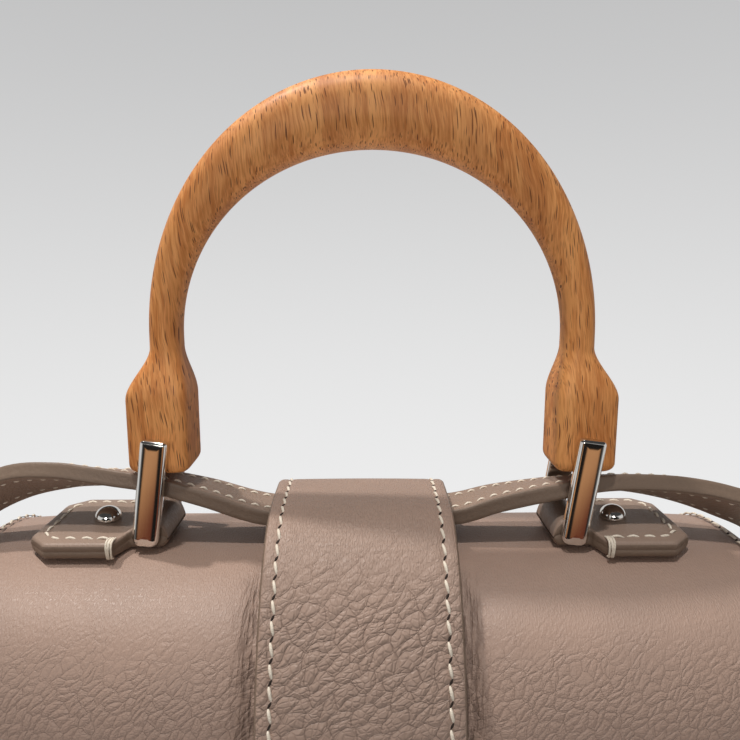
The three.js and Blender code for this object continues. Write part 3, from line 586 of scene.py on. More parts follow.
lift = padding + lumps - groove - roll - dip - tail
hide = cut_leather("hide_back_top_flap", skin + normal * lift[..., None], skin - normal * HIDE,
                   normal, grid_faces(*xx.shape), np.stack([xx, ss, xx * 0], -1),
                   [wrap_finish, flesh_finish, edge_finish])
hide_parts("back_and_top_panel", "flap_panel")
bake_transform(hide)
for label, side in BOTH_SIDES:
    facing = np.stack([y * 0, ny, nz], 1)
    seam = np.stack([np.full_like(y, side * (HALF_WIDTH - SEAM_IN)), y, z], 1) - facing * 0.28
    stitches = saddle_stitches(f"hide_stitches_{label}", seam[4:-2], [1, 0, 0], facing[4:-2])
    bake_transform(stitches)


# Lining: goat suede. One sheet backs the top and the flap, and a sewn bag of the same suede
# lines the body.
LINING = 1.2
suede_finish, tone, shader = start_finish("goat suede", Sheen_Weight=0.5, Sheen_Roughness=0.4)
nap, brushed = speckle(own_place(tone), 0.5, 4), speckle(own_place(tone), 14, 3)
feed(shader, Base_Color=shift(nap * 0.45 + brushed * 0.55, tint(140, 118, 98), tint(192, 168, 143)),
     Roughness=0.8 + nap * 0.2, Normal=raise_by(nap, 0.00025))
suede_sides = [suede_finish] * 3
INSIDE_X = HALF_WIDTH - 4.7
UNDER_HIDE = 2.9
lining_path = np.vstack([[[HALF_DEPTH, 93.4]], top_curve(), [[-HALF_DEPTH, FLAP_EDGE + 1.4]]])
y, z, ny, nz, _ = even_line(lining_path, 2.6)
lining_x = np.concatenate([[0.3 - INSIDE_X, 0.9 - INSIDE_X],
                           np.linspace(3 - INSIDE_X, INSIDE_X - 3, 30),
                           [INSIDE_X - 0.9, INSIDE_X - 0.3]])
skin, normal = sheet(lining_x, y - ny * UNDER_HIDE, z - nz * UNDER_HIDE, ny, nz)
top_lining = cut_leather("flap_and_top_lining", skin, skin - normal * LINING, normal,
                         grid_faces(*skin.shape[:2]), skin, suede_sides, 0.15)
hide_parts("top_lining", "flap_lining")
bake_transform(top_lining)

bag_front, bag_back, bag_floor, bag_top, bag_round = -37.2, 41.6, 5.2, 92.0, 3
turn = np.linspace(0, math.pi / 2, 8)
side_way, floor_way = bag_round - bag_round * np.cos(turn), bag_round - bag_round * np.sin(turn)
lining_path = np.vstack([[[bag_front, bag_top]],
                         np.stack([bag_front + side_way, bag_floor + floor_way], 1),
                         np.stack([bag_back - floor_way, bag_floor + side_way], 1),
                         [[bag_back, bag_top]]])
y, z, ny, nz, _ = even_line(lining_path, 2.6)
skin, normal = sheet(lining_x, y, z, -ny, -nz)
xx, yy, zz = np.moveaxis(skin, -1, 0)
slack = 0.25 * (np.sin(xx / 14) * np.sin(zz / 11 + yy / 9))[..., None]
lining = cut_leather("body_lining", skin + normal * LINING + normal * (slack + 0.25),
                     skin + normal * 0.1, normal, grid_faces(*xx.shape), skin, suede_sides, 0.15)
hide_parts("lining")
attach(lining, "bag")
end_y, end_z = np.meshgrid(np.linspace(bag_front + 1.6, bag_back - 1.6, 26),
                           np.linspace(bag_floor + 1.6, bag_top, 28))
pull = 1.6 * smooth((end_z - 30) / 70) * np.exp(-((end_y - GUSSET_MID[0]) / FOLD_SPREAD) ** 2)
for label, side in BOTH_SIDES:
    wall = np.stack([side * (INSIDE_X - 0.4 - pull), end_y, end_z], -1)
    facing = np.array([-side, 0, 0])
    end = cut_leather(f"end_lining_{label}", wall + facing * 0.8, wall, facing,
                      grid_faces(*end_y.shape), wall, suede_sides, 0.1)
    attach(end, "bag")


# Inner pocket: a suede patch sewn on three sides to the back of the lining. Its open top edge
# gapes a little in the middle.
POCKET_HALF, POCKET_LOW = 60, 34
pocket_x, pocket_z = np.meshgrid(
    np.concatenate([[-60, -59.4, -58.6], np.linspace(-57, 57, 36), [58.6, 59.4, 60]]),
    np.concatenate([[34, 34.6, 35.4], np.linspace(37, 78.4, 20), [79.3, 80]]))
sewn = smooth((POCKET_HALF - np.abs(pocket_x)) / 5) * smooth((pocket_z - POCKET_LOW) / 5)
slack = sewn * smooth((pocket_z - 60) / 20) * np.cos(pocket_x / POCKET_HALF * math.pi / 2)
gape = 1.2 + 1.6 * sewn + 0.7 * slack
patch = np.stack([pocket_x, bag_back - LINING - 0.4 - gape, pocket_z], -1)
pocket = cut_leather("pocket_patch", patch, patch + [0, 0.9, 0], [0, -1, 0],
                     grid_faces(*pocket_x.shape), patch, suede_sides, 0.2)
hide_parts("inner_pocket")
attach(pocket, "bag")


# Central band: a heavy strip of the same leather, stitched along both edges. It climbs the back,
# arches over the shoulder strap at the ridge and runs down the flap to a slotted tongue.
BAND_THICK = 3.4
BAND_CREST = 10.0
TONGUE_START, TONGUE_BEND, TONGUE_END = 58.0, 45.3, 31.8
TONGUE_SINK = 2.8
# The second colour is the crease colour: painted shade in the band's creases and hollows.
band_finish = grained_leather("taupe band leather", tint(160, 136, 122), tint(98, 79, 69),
                              2.4, -0.55, (11, 44), 0.0005, 0.44)
band_path = np.vstack([[[HALF_DEPTH, 12.0]], top_curve(), [[-HALF_DEPTH, TONGUE_START]]])
y, z, ny, nz, along = even_line(band_path, 1.9)
along = from_ridge(y, z, along)
climb = np.where(y < 0, (42 + y) / 31, (28 - y) / 23)
band_lift = 0.3 + np.where(z < WALL, 0, (BAND_CREST - 0.3) * smooth(climb))
band_lift = band_lift - TONGUE_SINK * smooth((FLAP_EDGE - z) / 8) * (y < 0)
centre_y, centre_z = y + ny * band_lift, z + nz * band_lift
BAND_RIM, BAND_SEAM, TONGUE_TURN = BAND_HALF - 0.5, BAND_HALF - 3.4, BAND_HALF - 14
half_x = np.concatenate([[0, 5, 10, 13.5, 16, 17.5],
                         BAND_SEAM + np.array([-0.9, -0.4, 0, 0.4, 1.0, 1.7, 2.4, 2.9])])
band_x = np.concatenate([-half_x[:0:-1], half_x])


def crown(x):
    """Height of the band's face across its width: domed, dipping at the stitches."""
    ax = np.abs(x)
    dome = BAND_THICK - 0.25 * (ax / BAND_HALF) ** 2
    dip = 0.32 * np.exp(-((ax - BAND_SEAM) / 0.65) ** 2)
    return dome - dip - 0.45 * smooth((ax - BAND_HALF + 1.6) / 1.6) ** 2


points = []
for k in range(len(y)):
    up = np.array([0, ny[k], nz[k]])
    foot = np.array([0, centre_y[k], centre_z[k]])
    points += [(foot + up * 0.05 + [x, 0, 0], foot + up * crown(x) + [x, 0, 0], up,
                (x, along[k], 0)) for x in band_x]
faces = grid_faces(len(y), len(band_x)).tolist()
tongue_top = range(len(points) - len(band_x), len(points))
face_y = -HALF_DEPTH - 0.3 + TONGUE_SINK
quarter = np.linspace(0, math.pi / 2, 12)
flank = [(BAND_RIM, zz) for zz in np.linspace(TONGUE_START, TONGUE_BEND, 8)[1:-1]]
flank += [(TONGUE_TURN + 13.5 * math.cos(a), TONGUE_BEND - 13.0 * math.sin(a)) for a in quarter]
edge = [(x, TONGUE_START) for x in band_x] + flank
edge += [(x, TONGUE_END + 0.5) for x in np.linspace(TONGUE_TURN, -TONGUE_TURN, 9)[1:-1]]
edge += [(-x, zz) for x, zz in flank[::-1]]
SLOT_WIDE, SLOT_LONG = 2.9, 8.2


def slot_reach(dx, dz):
    """Distance from the middle of the round-ended slot to its edge in a direction."""
    dx, dz = abs(dx) / math.hypot(dx, dz), abs(dz) / math.hypot(dx, dz)
    straight = SLOT_LONG - SLOT_WIDE
    if dx > 1e-9 and SLOT_WIDE / dx * dz <= straight:
        return SLOT_WIDE / dx
    across = (dz * straight) ** 2 - straight ** 2 + SLOT_WIDE ** 2
    return dz * straight + math.sqrt(max(0, across))


previous = []
for t in np.linspace(0, 1, 12):
    ring = []
    for k, (px, pz) in enumerate(edge):
        if t == 0 and k < len(band_x):
            ring.append(tongue_top[k])
            continue
        dx, dz = px, pz - LOCK_Z
        share = 1 + (slot_reach(dx, dz) / math.hypot(dx, dz) - 1) * t
        x, zz = dx * share, LOCK_Z + dz * share
        inset = min(math.hypot(px - x, pz - zz), 3.4)
        top = BAND_THICK - 0.25 * (min(abs(x), BAND_HALF) / BAND_HALF) ** 2
        top -= 0.3 * math.exp(-((inset - 2.9) / 0.5) ** 2) * (t > 0)
        top -= 0.45 * float(smooth((1.2 - inset) / 1.2)) * (pz < TONGUE_START)
        top -= 0.4 * float(smooth((t - 0.93) / 0.07))
        ring.append(len(points))
        points.append((np.array([x, face_y - 0.05, zz]), np.array([x, face_y - top, zz]),
                       np.array([0, -1.0, 0]), (x, along[-1] + TONGUE_START - zz, 0)))
    after, around = previous[1:] + previous[:1], ring[1:] + ring[:1]
    faces += [[a, c, d, b] for a, b, c, d in zip(previous, after, ring, around)]
    previous = ring
inner, outer, normal, flat = (np.array([p[k] for p in points]) for k in range(4))
band = cut_leather("central_band", outer, inner, normal, faces, flat,
                   [band_finish, flesh_finish, edge_finish], 0.55)
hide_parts("band_back", "band_front")
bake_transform(band)
seam_height = crown(BAND_SEAM) + 0.03
seam_y, seam_z = centre_y + ny * seam_height, centre_z + nz * seam_height
for label, side in BOTH_SIDES:
    seam = np.stack([np.full_like(y, side * BAND_SEAM), seam_y, seam_z], 1)[2:]
    facing = np.stack([y * 0, ny, nz], 1)[2:]
    stitches = saddle_stitches(f"band_stitches_{label}", seam, [1, 0, 0], facing)
    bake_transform(stitches)
flank = [(-BAND_SEAM, z) for z in np.linspace(TONGUE_START - 0.5, TONGUE_BEND, 6)[:-1]]
flank += [(-TONGUE_TURN - 10.6 * math.cos(a), TONGUE_BEND - 10.1 * math.sin(a)) for a in quarter]
hem = np.array(flank + [(-x, z) for x, z in flank[::-1]])
seam = np.stack([hem[:, 0], np.full(len(hem), face_y - BAND_THICK + 0.35), hem[:, 1]], 1)


def unit(ways):
    return ways / np.linalg.norm(ways, axis=1, keepdims=True)


ahead = unit(np.gradient(seam, axis=0))
stitches = saddle_stitches("tongue_stitches", seam, np.cross(ahead, [0, -1.0, 0]), [0, -1, 0])
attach(stitches, "flap")


# Turn lock: a round base riveted through the front panel, a slotted plate let into the tongue and
# a bar that turns across the slot. All are polished and nickel-plated.
nickel_finish, tone, shader = start_finish("polished nickel", Metallic=1.0)
smudge, grain = speckle(own_place(tone), 6, 3), speckle(own_place(tone), 0.6)
feed(shader, Base_Color=shift(smudge, tint(226, 223, 218), tint(240, 238, 233)),
     Roughness=0.045 + 0.06 * smudge + 0.02 * grain)


def rounds(name, rings, finishes, marks=None, joined=False, flat=None):
    """A skin over closed rings of equal count; its ends are capped, or joined into a loop."""
    points = np.vstack(rings)
    count, size = len(rings[0]), len(rings)
    faces = (np.array(tube_faces(0, size + joined, count)) % len(points)).tolist()
    kinds = (marks or [0] * count) * (size - 1 + joined)
    if not joined:
        last = (size - 1) * count
        faces += [range(count - 1, -1, -1), range(last, last + count)]
        kinds += [0, 0]
    a, b, c = (points[[f[k] for f in faces[:-2]]] for k in (0, 1, 2))
    if (np.cross(b - a, c - b) * (a + b + c - 3 * points.mean(0))).sum() < 0:
        faces = [f[::-1] for f in faces]
    return make(name, points, faces, finishes, kinds, flat)


def full_turn(count):
    return np.arange(count) / count * 2 * math.pi


def spun(name, profile, foot, finishes, axis="Z"):
    """A turned piece: a profile of radius and height about an axis through foot."""
    angle = full_turn(48)
    rings = []
    for radius, height in profile:
        u, v = radius * np.cos(angle), radius * np.sin(angle)
        h = np.full_like(angle, height)
        rings.append(np.array(foot) + np.stack([u, v, h] if axis == "Z" else [u, -h, v], 1))
    return rounds(name, rings, finishes)


def stadium(wide, long, y):
    """A round-ended outline on the front of the bag, about the lock's middle."""
    angle = full_turn(48)
    x, z = wide * np.cos(angle), wide * np.sin(angle)
    ends = np.sign(np.round(z, 6)) * (long - wide)
    return np.stack([x, np.full_like(angle, y), LOCK_Z + z + ends], 1)


base_profile = [(0.2, -2.3), (2.2, -2.3), (2.3, -2.2), (2.3, 0.3), (8.6, 0.3), (8.9, 0.5), (9, 0.8),
                (8.9, 1.2), (8.5, 1.45), (7.4, 1.5), (2.9, 1.45), (2.4, 1.5), (2.3, 1.8),
                (2.3, 7.2), (0.2, 7.2)]
lock_base = spun("lock_base", base_profile, (0, -FRONT_DEPTH, LOCK_Z), [nickel_finish], "Y")
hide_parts("turnlock_base")
plate_back = face_y - BAND_THICK - 0.02
plate_rings = [stadium(wide, wide + SLOT_LONG - SLOT_WIDE, plate_back - rise) for wide, rise in (
    (5.9, 0), (5.9, 0.7), (5.7, 1.1), (5.3, 1.35), (4.4, 1.45), (3.5, 1.35), (3.1, 1.1),
    (SLOT_WIDE, 0.7), (SLOT_WIDE, -0.4), (4.4, -0.4))]
lock_plate = rounds("lock_plate", plate_rings, [nickel_finish], joined=True)
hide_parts("turnlock_plate")
knob_back = -47.85
knob_rings = [stadium(wide, long, knob_back - rise) for wide, long, rise in (
    (1.4, 5.2, 0), (1.85, 5.75, 0.15), (2.1, 6.0, 0.6), (2.1, 6.0, 1.9), (2.0, 5.9, 2.5),
    (1.7, 5.55, 3.0), (1.1, 4.8, 3.27), (0.4, 3.9, 3.35))]
lock_knob = rounds("lock_knob", knob_rings, [nickel_finish])
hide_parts("turnlock_knob")
for piece, body in ((lock_base, "bag"), (lock_plate, "flap"), (lock_knob, "turnlock_knob")):
    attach(piece, body)
for node in ("turnlock_backplate", "rivet_burr_left", "rivet_burr_right",
             "handle_pin_left", "handle_pin_right"):
    finish_solid(node, nickel_finish)


# Handle tabs: a strip of leather folded round the lower bar of each loop, its two layers stitched
# round the border and bound with a few turns of thread at the shoulder.
PIVOT = 54.5
BAR_Z = RIDGE + 4.4
TAB_TOP = RIDGE + 4.4
TAB_END = 29.4
TAB_BORDER = [(7.4, -12.7), (22.5, -12.7), (26.1, -9.2), (26.1, 9.2), (22.5, 12.7), (7.4, 12.7)]
BINDING_TURNS = 4
# The second colour is the crease colour: painted shade in the tab's creases and hollows.
tab_finish = grained_leather("tab leather", tint(148, 127, 113), tint(100, 82, 71),
                             1.2, -0.6, (40, 140), 0.00016, 0.42)
profile_u = np.concatenate([
    [-5, -4.9, -4.6, -4.0, -3.2], np.linspace(-2.4, 8.4, 20), np.linspace(9.6, 22.4, 10),
    TAB_END + np.array([-6.1, -5.4, -4.7, -4, -3.3, -2.6, -1.9, -1.1, -0.6, -0.3, -0.1, 0])])


def tab_half(u):
    """Half of a tab's width at a distance from the bar: narrow neck, wide body, cut corners."""
    return 9.2 + 6.8 * smooth((u - 4.2) / 3.9) - 0.98 * np.clip(u - TAB_END + 5.6, 0, None)


def tab_height(u):
    """Lowest and highest point of a tab at a distance from the bar that it is rolled round."""
    roll = BAR_Z + 3.4 * math.sqrt(max(0.0, 1 - (min(u, 0.0) / 5.05) ** 2))
    neck = smooth((u - 0.4) / 6.4)
    return RIDGE + 0.35, (1 - neck) * roll + neck * TAB_TOP


def tab_section(half, low, high, rim):
    """One slice across a tab: rounded edge with the line between the two layers."""
    mid, tall = (low + high) / 2, (high - low) / 2
    r = min(rim, tall * 0.98, half * 0.9)
    corner = np.linspace(0, math.pi / 2, 5)
    side = [(half - 0.12, mid + 0.01), (half - 0.02, mid + 0.22)]
    side += [(half - r * (1 - math.cos(a)), mid + tall - r * (1 - math.sin(a))) for a in corner]
    flank = [(-v, w) for v, w in side[::-1]]
    face = [(v, mid + tall) for v in np.linspace(side[-1][0], -side[-1][0], 11)[1:-1]]
    top = side + face + flank
    return top + [(-v, 2 * mid - w) for v, w in top]


border = np.vstack([np.linspace(p, q, 9)[:-1] for p, q in zip(TAB_BORDER, TAB_BORDER[1:])]
                   + [TAB_BORDER[-1]])
for label, side in BOTH_SIDES:
    rings = []
    for u in profile_u:
        low, high = tab_height(u)
        tip = math.sqrt(max(0.0, 1 - max(0.0, (-u - 3.0) / 2.03) ** 2))
        end = math.sqrt(max(0.0, 1 - max(0.0, (u - TAB_END + 1.3) / 1.33) ** 2))
        mid = (low + high) / 2
        tall = (high - low) / 2 * max(0.25, min(tip, end))
        half = tab_half(u) * (0.96 + 0.04 * min(tip, end))
        puff = 0.35 * smooth((u - 11) / 4) * smooth((27 - u) / 4)
        ring = np.array(tab_section(half, mid - tall, mid + tall, 1.1))
        inward = smooth((half - np.abs(ring[:, 0]) - 2.2) / 2.4)
        ring[:, 1] += np.where(ring[:, 1] > mid, puff * inward, 0)
        rings.append(np.stack([np.full(len(ring), side * (PIVOT + u)), ring[:, 0], ring[:, 1]], 1))
    upper = len(rings[0]) // 2
    kinds = [int(min(k, upper - 1 - k) < 4) for k in range(upper)] * 2
    tab = rounds(f"tab_{label}", rings, [tab_finish, edge_finish], kinds,
                 flat=np.vstack(rings) + [0, 60, 0])
    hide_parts(f"handle_tab_{label}")
    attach(tab, "bag")
    height = np.full(len(border), TAB_TOP + 0.1)
    seam = np.stack([side * (PIVOT + border[:, 0]), border[:, 1], height], 1)
    ahead = unit(np.gradient(seam, axis=0))
    stitches = saddle_stitches(f"tab_stitches_{label}", seam, np.cross(ahead, [0, 0, 1.0]),
                               [0, 0, 1], 4.1, 0.86, 0.2, 0.4, False)
    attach(stitches, "bag")
    for face_name, edge_y in (("front", -1), ("back", 1)):
        points, faces = [], []
        for n in range(BINDING_TURNS):
            u = PIVOT + 7.0 + n * 0.44 + 0.1 * math.sin(n * 2.3)
            lean = 0.5 * math.sin(n * 1.7)
            turn = np.array([(u, 12.7, 0.15), (u, 14.6, 0.42), (u + 0.1 * lean, 15.8, 0.1),
                             (u + 0.25 * lean, 16.35, -1.0), (u + 0.5 * lean, 16.4, -2.4),
                             (u + 0.7 * lean, 16.05, -3.75), (u + 0.7 * lean, 15.1, -4.0)])
            turn = turn * [side, edge_y, 1] + [0, 0, TAB_TOP]
            turn = np.stack([np.interp(np.linspace(0, 6, 19), np.arange(7), v) for v in turn.T], 1)
            wide = np.array([1.0, 0, 0])
            tall = np.cross(unit(np.gradient(turn, axis=0)), wide)
            faces += tube_faces(len(points), len(turn), 8)
            for p, t in zip(turn, tall):
                points.extend(p + 0.27 * (wide * math.cos(c) + t * math.sin(c))
                              for c in full_turn(8))
        binding = make(f"tab_binding_{label}_{face_name}", points, faces, [thread_finish])
        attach(binding, "bag")


# Rivets: turned, nickel-plated and polished. Each has a domed head on its tab, and its shank is
# closed over a washer inside the bag.
RIVET = 67.8
dome = [(1.5, -8.4), (1.5, -0.1), (3.3, -0.1), (3.5, 0.05), (3.55, 0.3)]
dome += [(3.5 * math.cos(a), 0.4 + 3.1 * math.sin(a))
         for a in np.linspace(0.06, math.pi / 2 - 0.05, 16)]
for label, side in BOTH_SIDES:
    rivet = spun(f"rivet_{label}", dome, (side * RIVET, 0, TAB_TOP + 0.32), [nickel_finish])
    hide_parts(f"tab_rivet_{label}")
    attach(rivet, "bag")


# Loops: cast stirrups of flat bar, one leg in front of the handle's block and one behind, joined by
# the round bar in the tab. Their edges are bevelled and the faces polished.
LEAN = math.radians(7.8)
LOOP = 22.1
LEG_LOW, LEG_HIGH, LEG_HALF, LOOP_BAR = -2.9, LOOP + 2.9, 3.35, 1.8
LEG_PROFILE = ((1.0, 9.5), (0.3, 9.5), (0.08, 9.58), (0.0, 9.8), (0.0, 11.0), (0.06, 11.3),
               (0.2, 11.55), (0.42, 11.74), (0.66, 11.86), (0.86, 11.91), (1.3, 11.98),
               (1.8, 12.04), (2.3, 12.08), (2.8, 12.105), (3.2, 12.11))


def leg_outline(inset):
    """Outline of a leg's flat bar, drawn in by a distance: round at its foot, tighter on top."""
    shape = []
    for sx, top, r, start in ((1, 0, 2.3, -90), (1, 1, 1.1, 0),
                              (-1, 1, 1.1, 90), (-1, 0, 2.3, 180)):
        keep = max(r, inset + 0.02)
        cx, cz = sx * (LEG_HALF - keep), LEG_HIGH - keep if top else LEG_LOW + keep
        shape += [(cx + (keep - inset) * math.cos(a), cz + (keep - inset) * math.sin(a))
                  for a in np.radians(np.linspace(start, start + 90, 9))]
    return shape


angle = full_turn(24)
cast = [[np.array([(x, front * depth, z) for x, z in leg_outline(inset)])
         for inset, depth in LEG_PROFILE] for front in (-1, 1)]
cast.append([np.stack([LOOP_BAR * np.cos(angle), np.full(24, y), LOOP_BAR * np.sin(angle)], 1)
             for y in np.linspace(-9.7, 9.7, 8)])
points, faces = [], []
for rings in cast:
    first, count = len(points), len(rings[0])
    points.extend(np.vstack(rings))
    last = len(points) - count
    skin = tube_faces(first, len(rings), count)
    skin += [range(first + count - 1, first - 1, -1), range(last, last + count)]
    backwards = rings[-1][0][1] > rings[0][0][1]
    faces += [face[::-1] for face in skin] if backwards else skin
x, y, z = np.array(points).T
turned = np.stack([x * math.cos(LEAN) + z * math.sin(LEAN), y,
                   z * math.cos(LEAN) - x * math.sin(LEAN)], 1)
for label, side in BOTH_SIDES:
    loop = make(f"loop_{label}", turned + [side * PIVOT, 0, BAR_Z], faces, [nickel_finish])
    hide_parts(f"handle_loop_{label}")
    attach(loop, f"loop_{label}")


# Handle: sawn and shaped from a beech plank, so the grain stands upright all through it. The arch
# swells at the crown, and each end is a square block bored for its pin.
GRAIN_LEAN = -0.1
beech_finish, tone, shader = start_finish("lacquered beech", Coat_Weight=0.25, Coat_Roughness=0.4)
wavy = astray(in_millimetres(own_place(tone)), 0.04, (6.0, 6.0, 0.0))


def drawn_out(wide, long):
    """The wood's own place, with lumps that wide and drawn out upwards."""
    return wavy.node("ShaderNodeMapping", {"vector_type": "TEXTURE"},
                     {"Vector": wavy, "Rotation": (0, GRAIN_LEAN, 0),
                      "Scale": (wide, wide * 4, long)})


def vessels(wide, long, low, high):
    """Dark dashes where the wood's vessels are cut open."""
    core = wavy.node("ShaderNodeTexVoronoi", {"feature": "F1"},
                     {"Vector": drawn_out(wide, long), "Scale": 1.0})
    return 1 - ease(core, low, high)


fibre = noise(drawn_out(0.4, 7.0), 1.0, 3.0)
streak = noise(drawn_out(3.2, 46.0), 1.0, 3.0)
year_rings = wavy.node("ShaderNodeTexWave", {"wave_type": "BANDS", "bands_direction": "X"},
                       {"Vector": drawn_out(17.0, 120.0), "Scale": 0.35, "Distortion": 3.0,
                        "Detail": 2.0, "Detail Scale": 1.2})
dash, fleck = vessels(0.5, 10.0, 0.17, 0.27), vessels(0.32, 5.0, 0.12, 0.32)
honey = shift(ease(streak * 0.45 + fibre * 0.55, 0.35, 0.65),
              tint(202, 122, 54), tint(248, 174, 102))
honey = shift(ease(year_rings, 0.35, 0.95) * 0.22, honey, tint(180, 106, 48))
honey = shift(fleck * 0.5, honey, tint(150, 86, 38))
feed(shader, Base_Color=shift(dash * 0.88, honey, tint(104, 54, 22)),
     Roughness=0.62 + 0.14 * fibre + dash * 0.2,
     Normal=raise_by(fibre * 0.35 + (1 - dash) * 0.65, 0.00008))
BLOCK_WIDE, BLOCK_DEEP, BLOCK_SQUARE = 15.8, 16.5, 6.5
BLOCK_FOOT, BLOCK_ROUND = -6.9, 2.6
NECK_WIDE, NECK_DEEP, NECK_SQUARE = 8.0, 11.0, 2.5
CROWN_WIDE, CROWN_DEEP = 18.2, 16.4
ARCH, ARCH_RISE, ARCH_HIGH = 52.7, 27.6, 55.3
stations = []
for a in np.linspace(0.03, 1, 9) * math.pi / 2:
    tuck = BLOCK_ROUND * (1 - math.sin(a))
    stations.append((PIVOT, BLOCK_FOOT + BLOCK_ROUND * (1 - math.cos(a)), 0,
                     BLOCK_WIDE - 2 * tuck, BLOCK_DEEP - 2 * tuck, BLOCK_SQUARE))
for z in np.linspace(-3.6, 11.2, 8):
    stations.append((PIVOT, z, 0, BLOCK_WIDE, BLOCK_DEEP, BLOCK_SQUARE))
for t in np.linspace(0, 1, 22)[:-1]:
    e = float(smooth(t))
    stations.append((PIVOT + (ARCH - PIVOT) * e, 12.1 + 13.2 * t, 0,
                     BLOCK_WIDE + (NECK_WIDE - BLOCK_WIDE) * e,
                     BLOCK_DEEP + (NECK_DEEP - BLOCK_DEEP) * e,
                     BLOCK_SQUARE + (NECK_SQUARE - BLOCK_SQUARE) * e))
for a in np.linspace(0, math.pi / 2, 52):
    e = math.sin(a) ** 2
    facing = math.atan2(math.sin(a) / ARCH_HIGH, math.cos(a) / ARCH)
    stations.append((ARCH * math.cos(a), ARCH_RISE + ARCH_HIGH * math.sin(a), facing,
                     NECK_WIDE + (CROWN_WIDE - NECK_WIDE) * e,
                     NECK_DEEP + (CROWN_DEEP - NECK_DEEP) * e, NECK_SQUARE))
stations += [(-x, z, math.pi - a, w, d, p) for x, z, a, w, d, p in stations[-2::-1]]
angle = full_turn(48) + math.pi / 48
rings = []
for x, z, a, wide, deep, power in stations:
    c = squared_off(np.cos(angle), power) * wide / 2
    d = squared_off(np.sin(angle), power) * deep / 2
    rings.append(np.stack([x + math.cos(a) * c, d, z + math.sin(a) * c], 1))
pin_mid = np.array([LOOP * math.sin(LEAN), 0, BAR_Z + LOOP * math.cos(LEAN)])
handle = rounds("beech_handle", [r + pin_mid for r in rings], [beech_finish])
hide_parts("handle")
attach(handle, "handle")


# Shoulder strap: two strips of leather bonded back to back, edge-painted and stitched in two rows.
# It passes under the band and through both loops, falls past the ends and lies behind the bag.
STRAP_HALF, STRAP_THICK, STRAP_SEAM = 6.75, 4.3, 4.2
STRAP_CREST = BAND_CREST - 0.6 - STRAP_THICK / 2
GROUND = 0.6 + STRAP_THICK / 2
REACH, BACK, TURN = HALF_WIDTH + 18, 112, 62


def run_x(t):
    """Distance from the middle: -1 is the band's edge, 0 the loop and 1 the end of the bag."""
    return PIVOT + t * ((PIVOT - BAND_HALF) if t < 0 else (HALF_WIDTH - PIVOT))


def strap_side(side, top, lift):
    """Middle points of one half of the strap and the direction of its marked edge at each."""
    spots = [((side * run_x(t), y, RIDGE + h),
              (0, -math.cos(math.radians(a)), math.sin(math.radians(a)))) for t, y, h, a in top]
    for inward, y, share, wx, wy, wz in (
            (6, -6, 0.92, 0.25, -0.9, 0.3), (2.5, -9, 0.773, 0.35, -0.93, 0.12),
            (1, -10, 0.587, 0.62, -0.78, 0), (0.4, -7, 0.387, 0.88, -0.48, 0),
            (0, 1, 0.213, 1, -0.1, 0), (0, 15, 0.087, 1, 0, 0)):
        spots.append(((side * (REACH - inward), y, share * RIDGE), (side * wx, wy, wz)))
    spots.append(((side * REACH, 34, GROUND + 0.3), (side, 0, 0)))
    for a in np.linspace(0, math.pi / 2, 5):
        x, y = REACH - TURN + TURN * math.cos(a), BACK - TURN + TURN * math.sin(a)
        spots.append(((side * x, y, GROUND), (side * math.cos(a), math.sin(a), 0)))
    for x, rise in ((34, lift / 4), (20, lift), (0, lift), (-18, lift)):
        spots.append(((side * x, BACK, GROUND + rise), (0, 1, 0)))
    return spots


left_top = [(-0.95, 0, STRAP_CREST, 0), (-0.42, 0, 12.1, 4), (0, 0, 15.3, 10), (0.18, 0, 16.1, 16),
            (0.32, 0, 16.5, 22), (0.5, 0, 16.8, 30), (0.77, 0, 14.7, 42), (1.04, -2, 7, 46)]
right_top = [(-0.95, 0, STRAP_CREST, 0), (-0.58, 0, 10.25, 4), (0, 0, 13.4, 12),
             (0.18, 0, 14.35, 17), (0.355, 0, 14.3, 20), (0.62, 0, 12.6, 28),
             (0.867, -1, 9.4, 37), (1.08, -3, 5, 46)]
route = strap_side(1, right_top, 1.5)[::-1]
route += [((0, 0, RIDGE + STRAP_CREST), (0, -1, 0))] + strap_side(-1, left_top, 6.1)


def through(knots, per_span):
    """A smooth curve through the knots, even where they stand unevenly."""
    knots = np.array(knots, float)
    ends = np.vstack([2 * knots[0] - knots[1], knots, 2 * knots[-1] - knots[-2]])
    line = []
    for i in range(1, len(ends) - 2):
        p0, p1, p2, p3 = ends[i - 1:i + 3]
        g0, g1, g2 = (max(np.linalg.norm(b - a) ** 0.5, 1e-4)
                      for a, b in ((p0, p1), (p1, p2), (p2, p3)))
        m1 = ((p1 - p0) / g0 - (p2 - p0) / (g0 + g1) + (p2 - p1) / g1) * g1
        m2 = ((p2 - p1) / g1 - (p3 - p1) / (g1 + g2) + (p3 - p2) / g2) * g1
        for t in np.arange(per_span) / per_span:
            line.append(p1 + m1 * t + (3 * (p2 - p1) - 2 * m1 - m2) * t ** 2
                        + (2 * (p1 - p2) + m1 + m2) * t ** 3)
    return np.array(line + [knots[-1]])


strap_line = through([p for p, _ in route], 8)
ahead = unit(np.gradient(strap_line, axis=0))
edge_way = through([w for _, w in route], 8)
edge_way = unit(edge_way - ahead * (edge_way * ahead).sum(1, keepdims=True))
face_way = np.cross(ahead, edge_way)
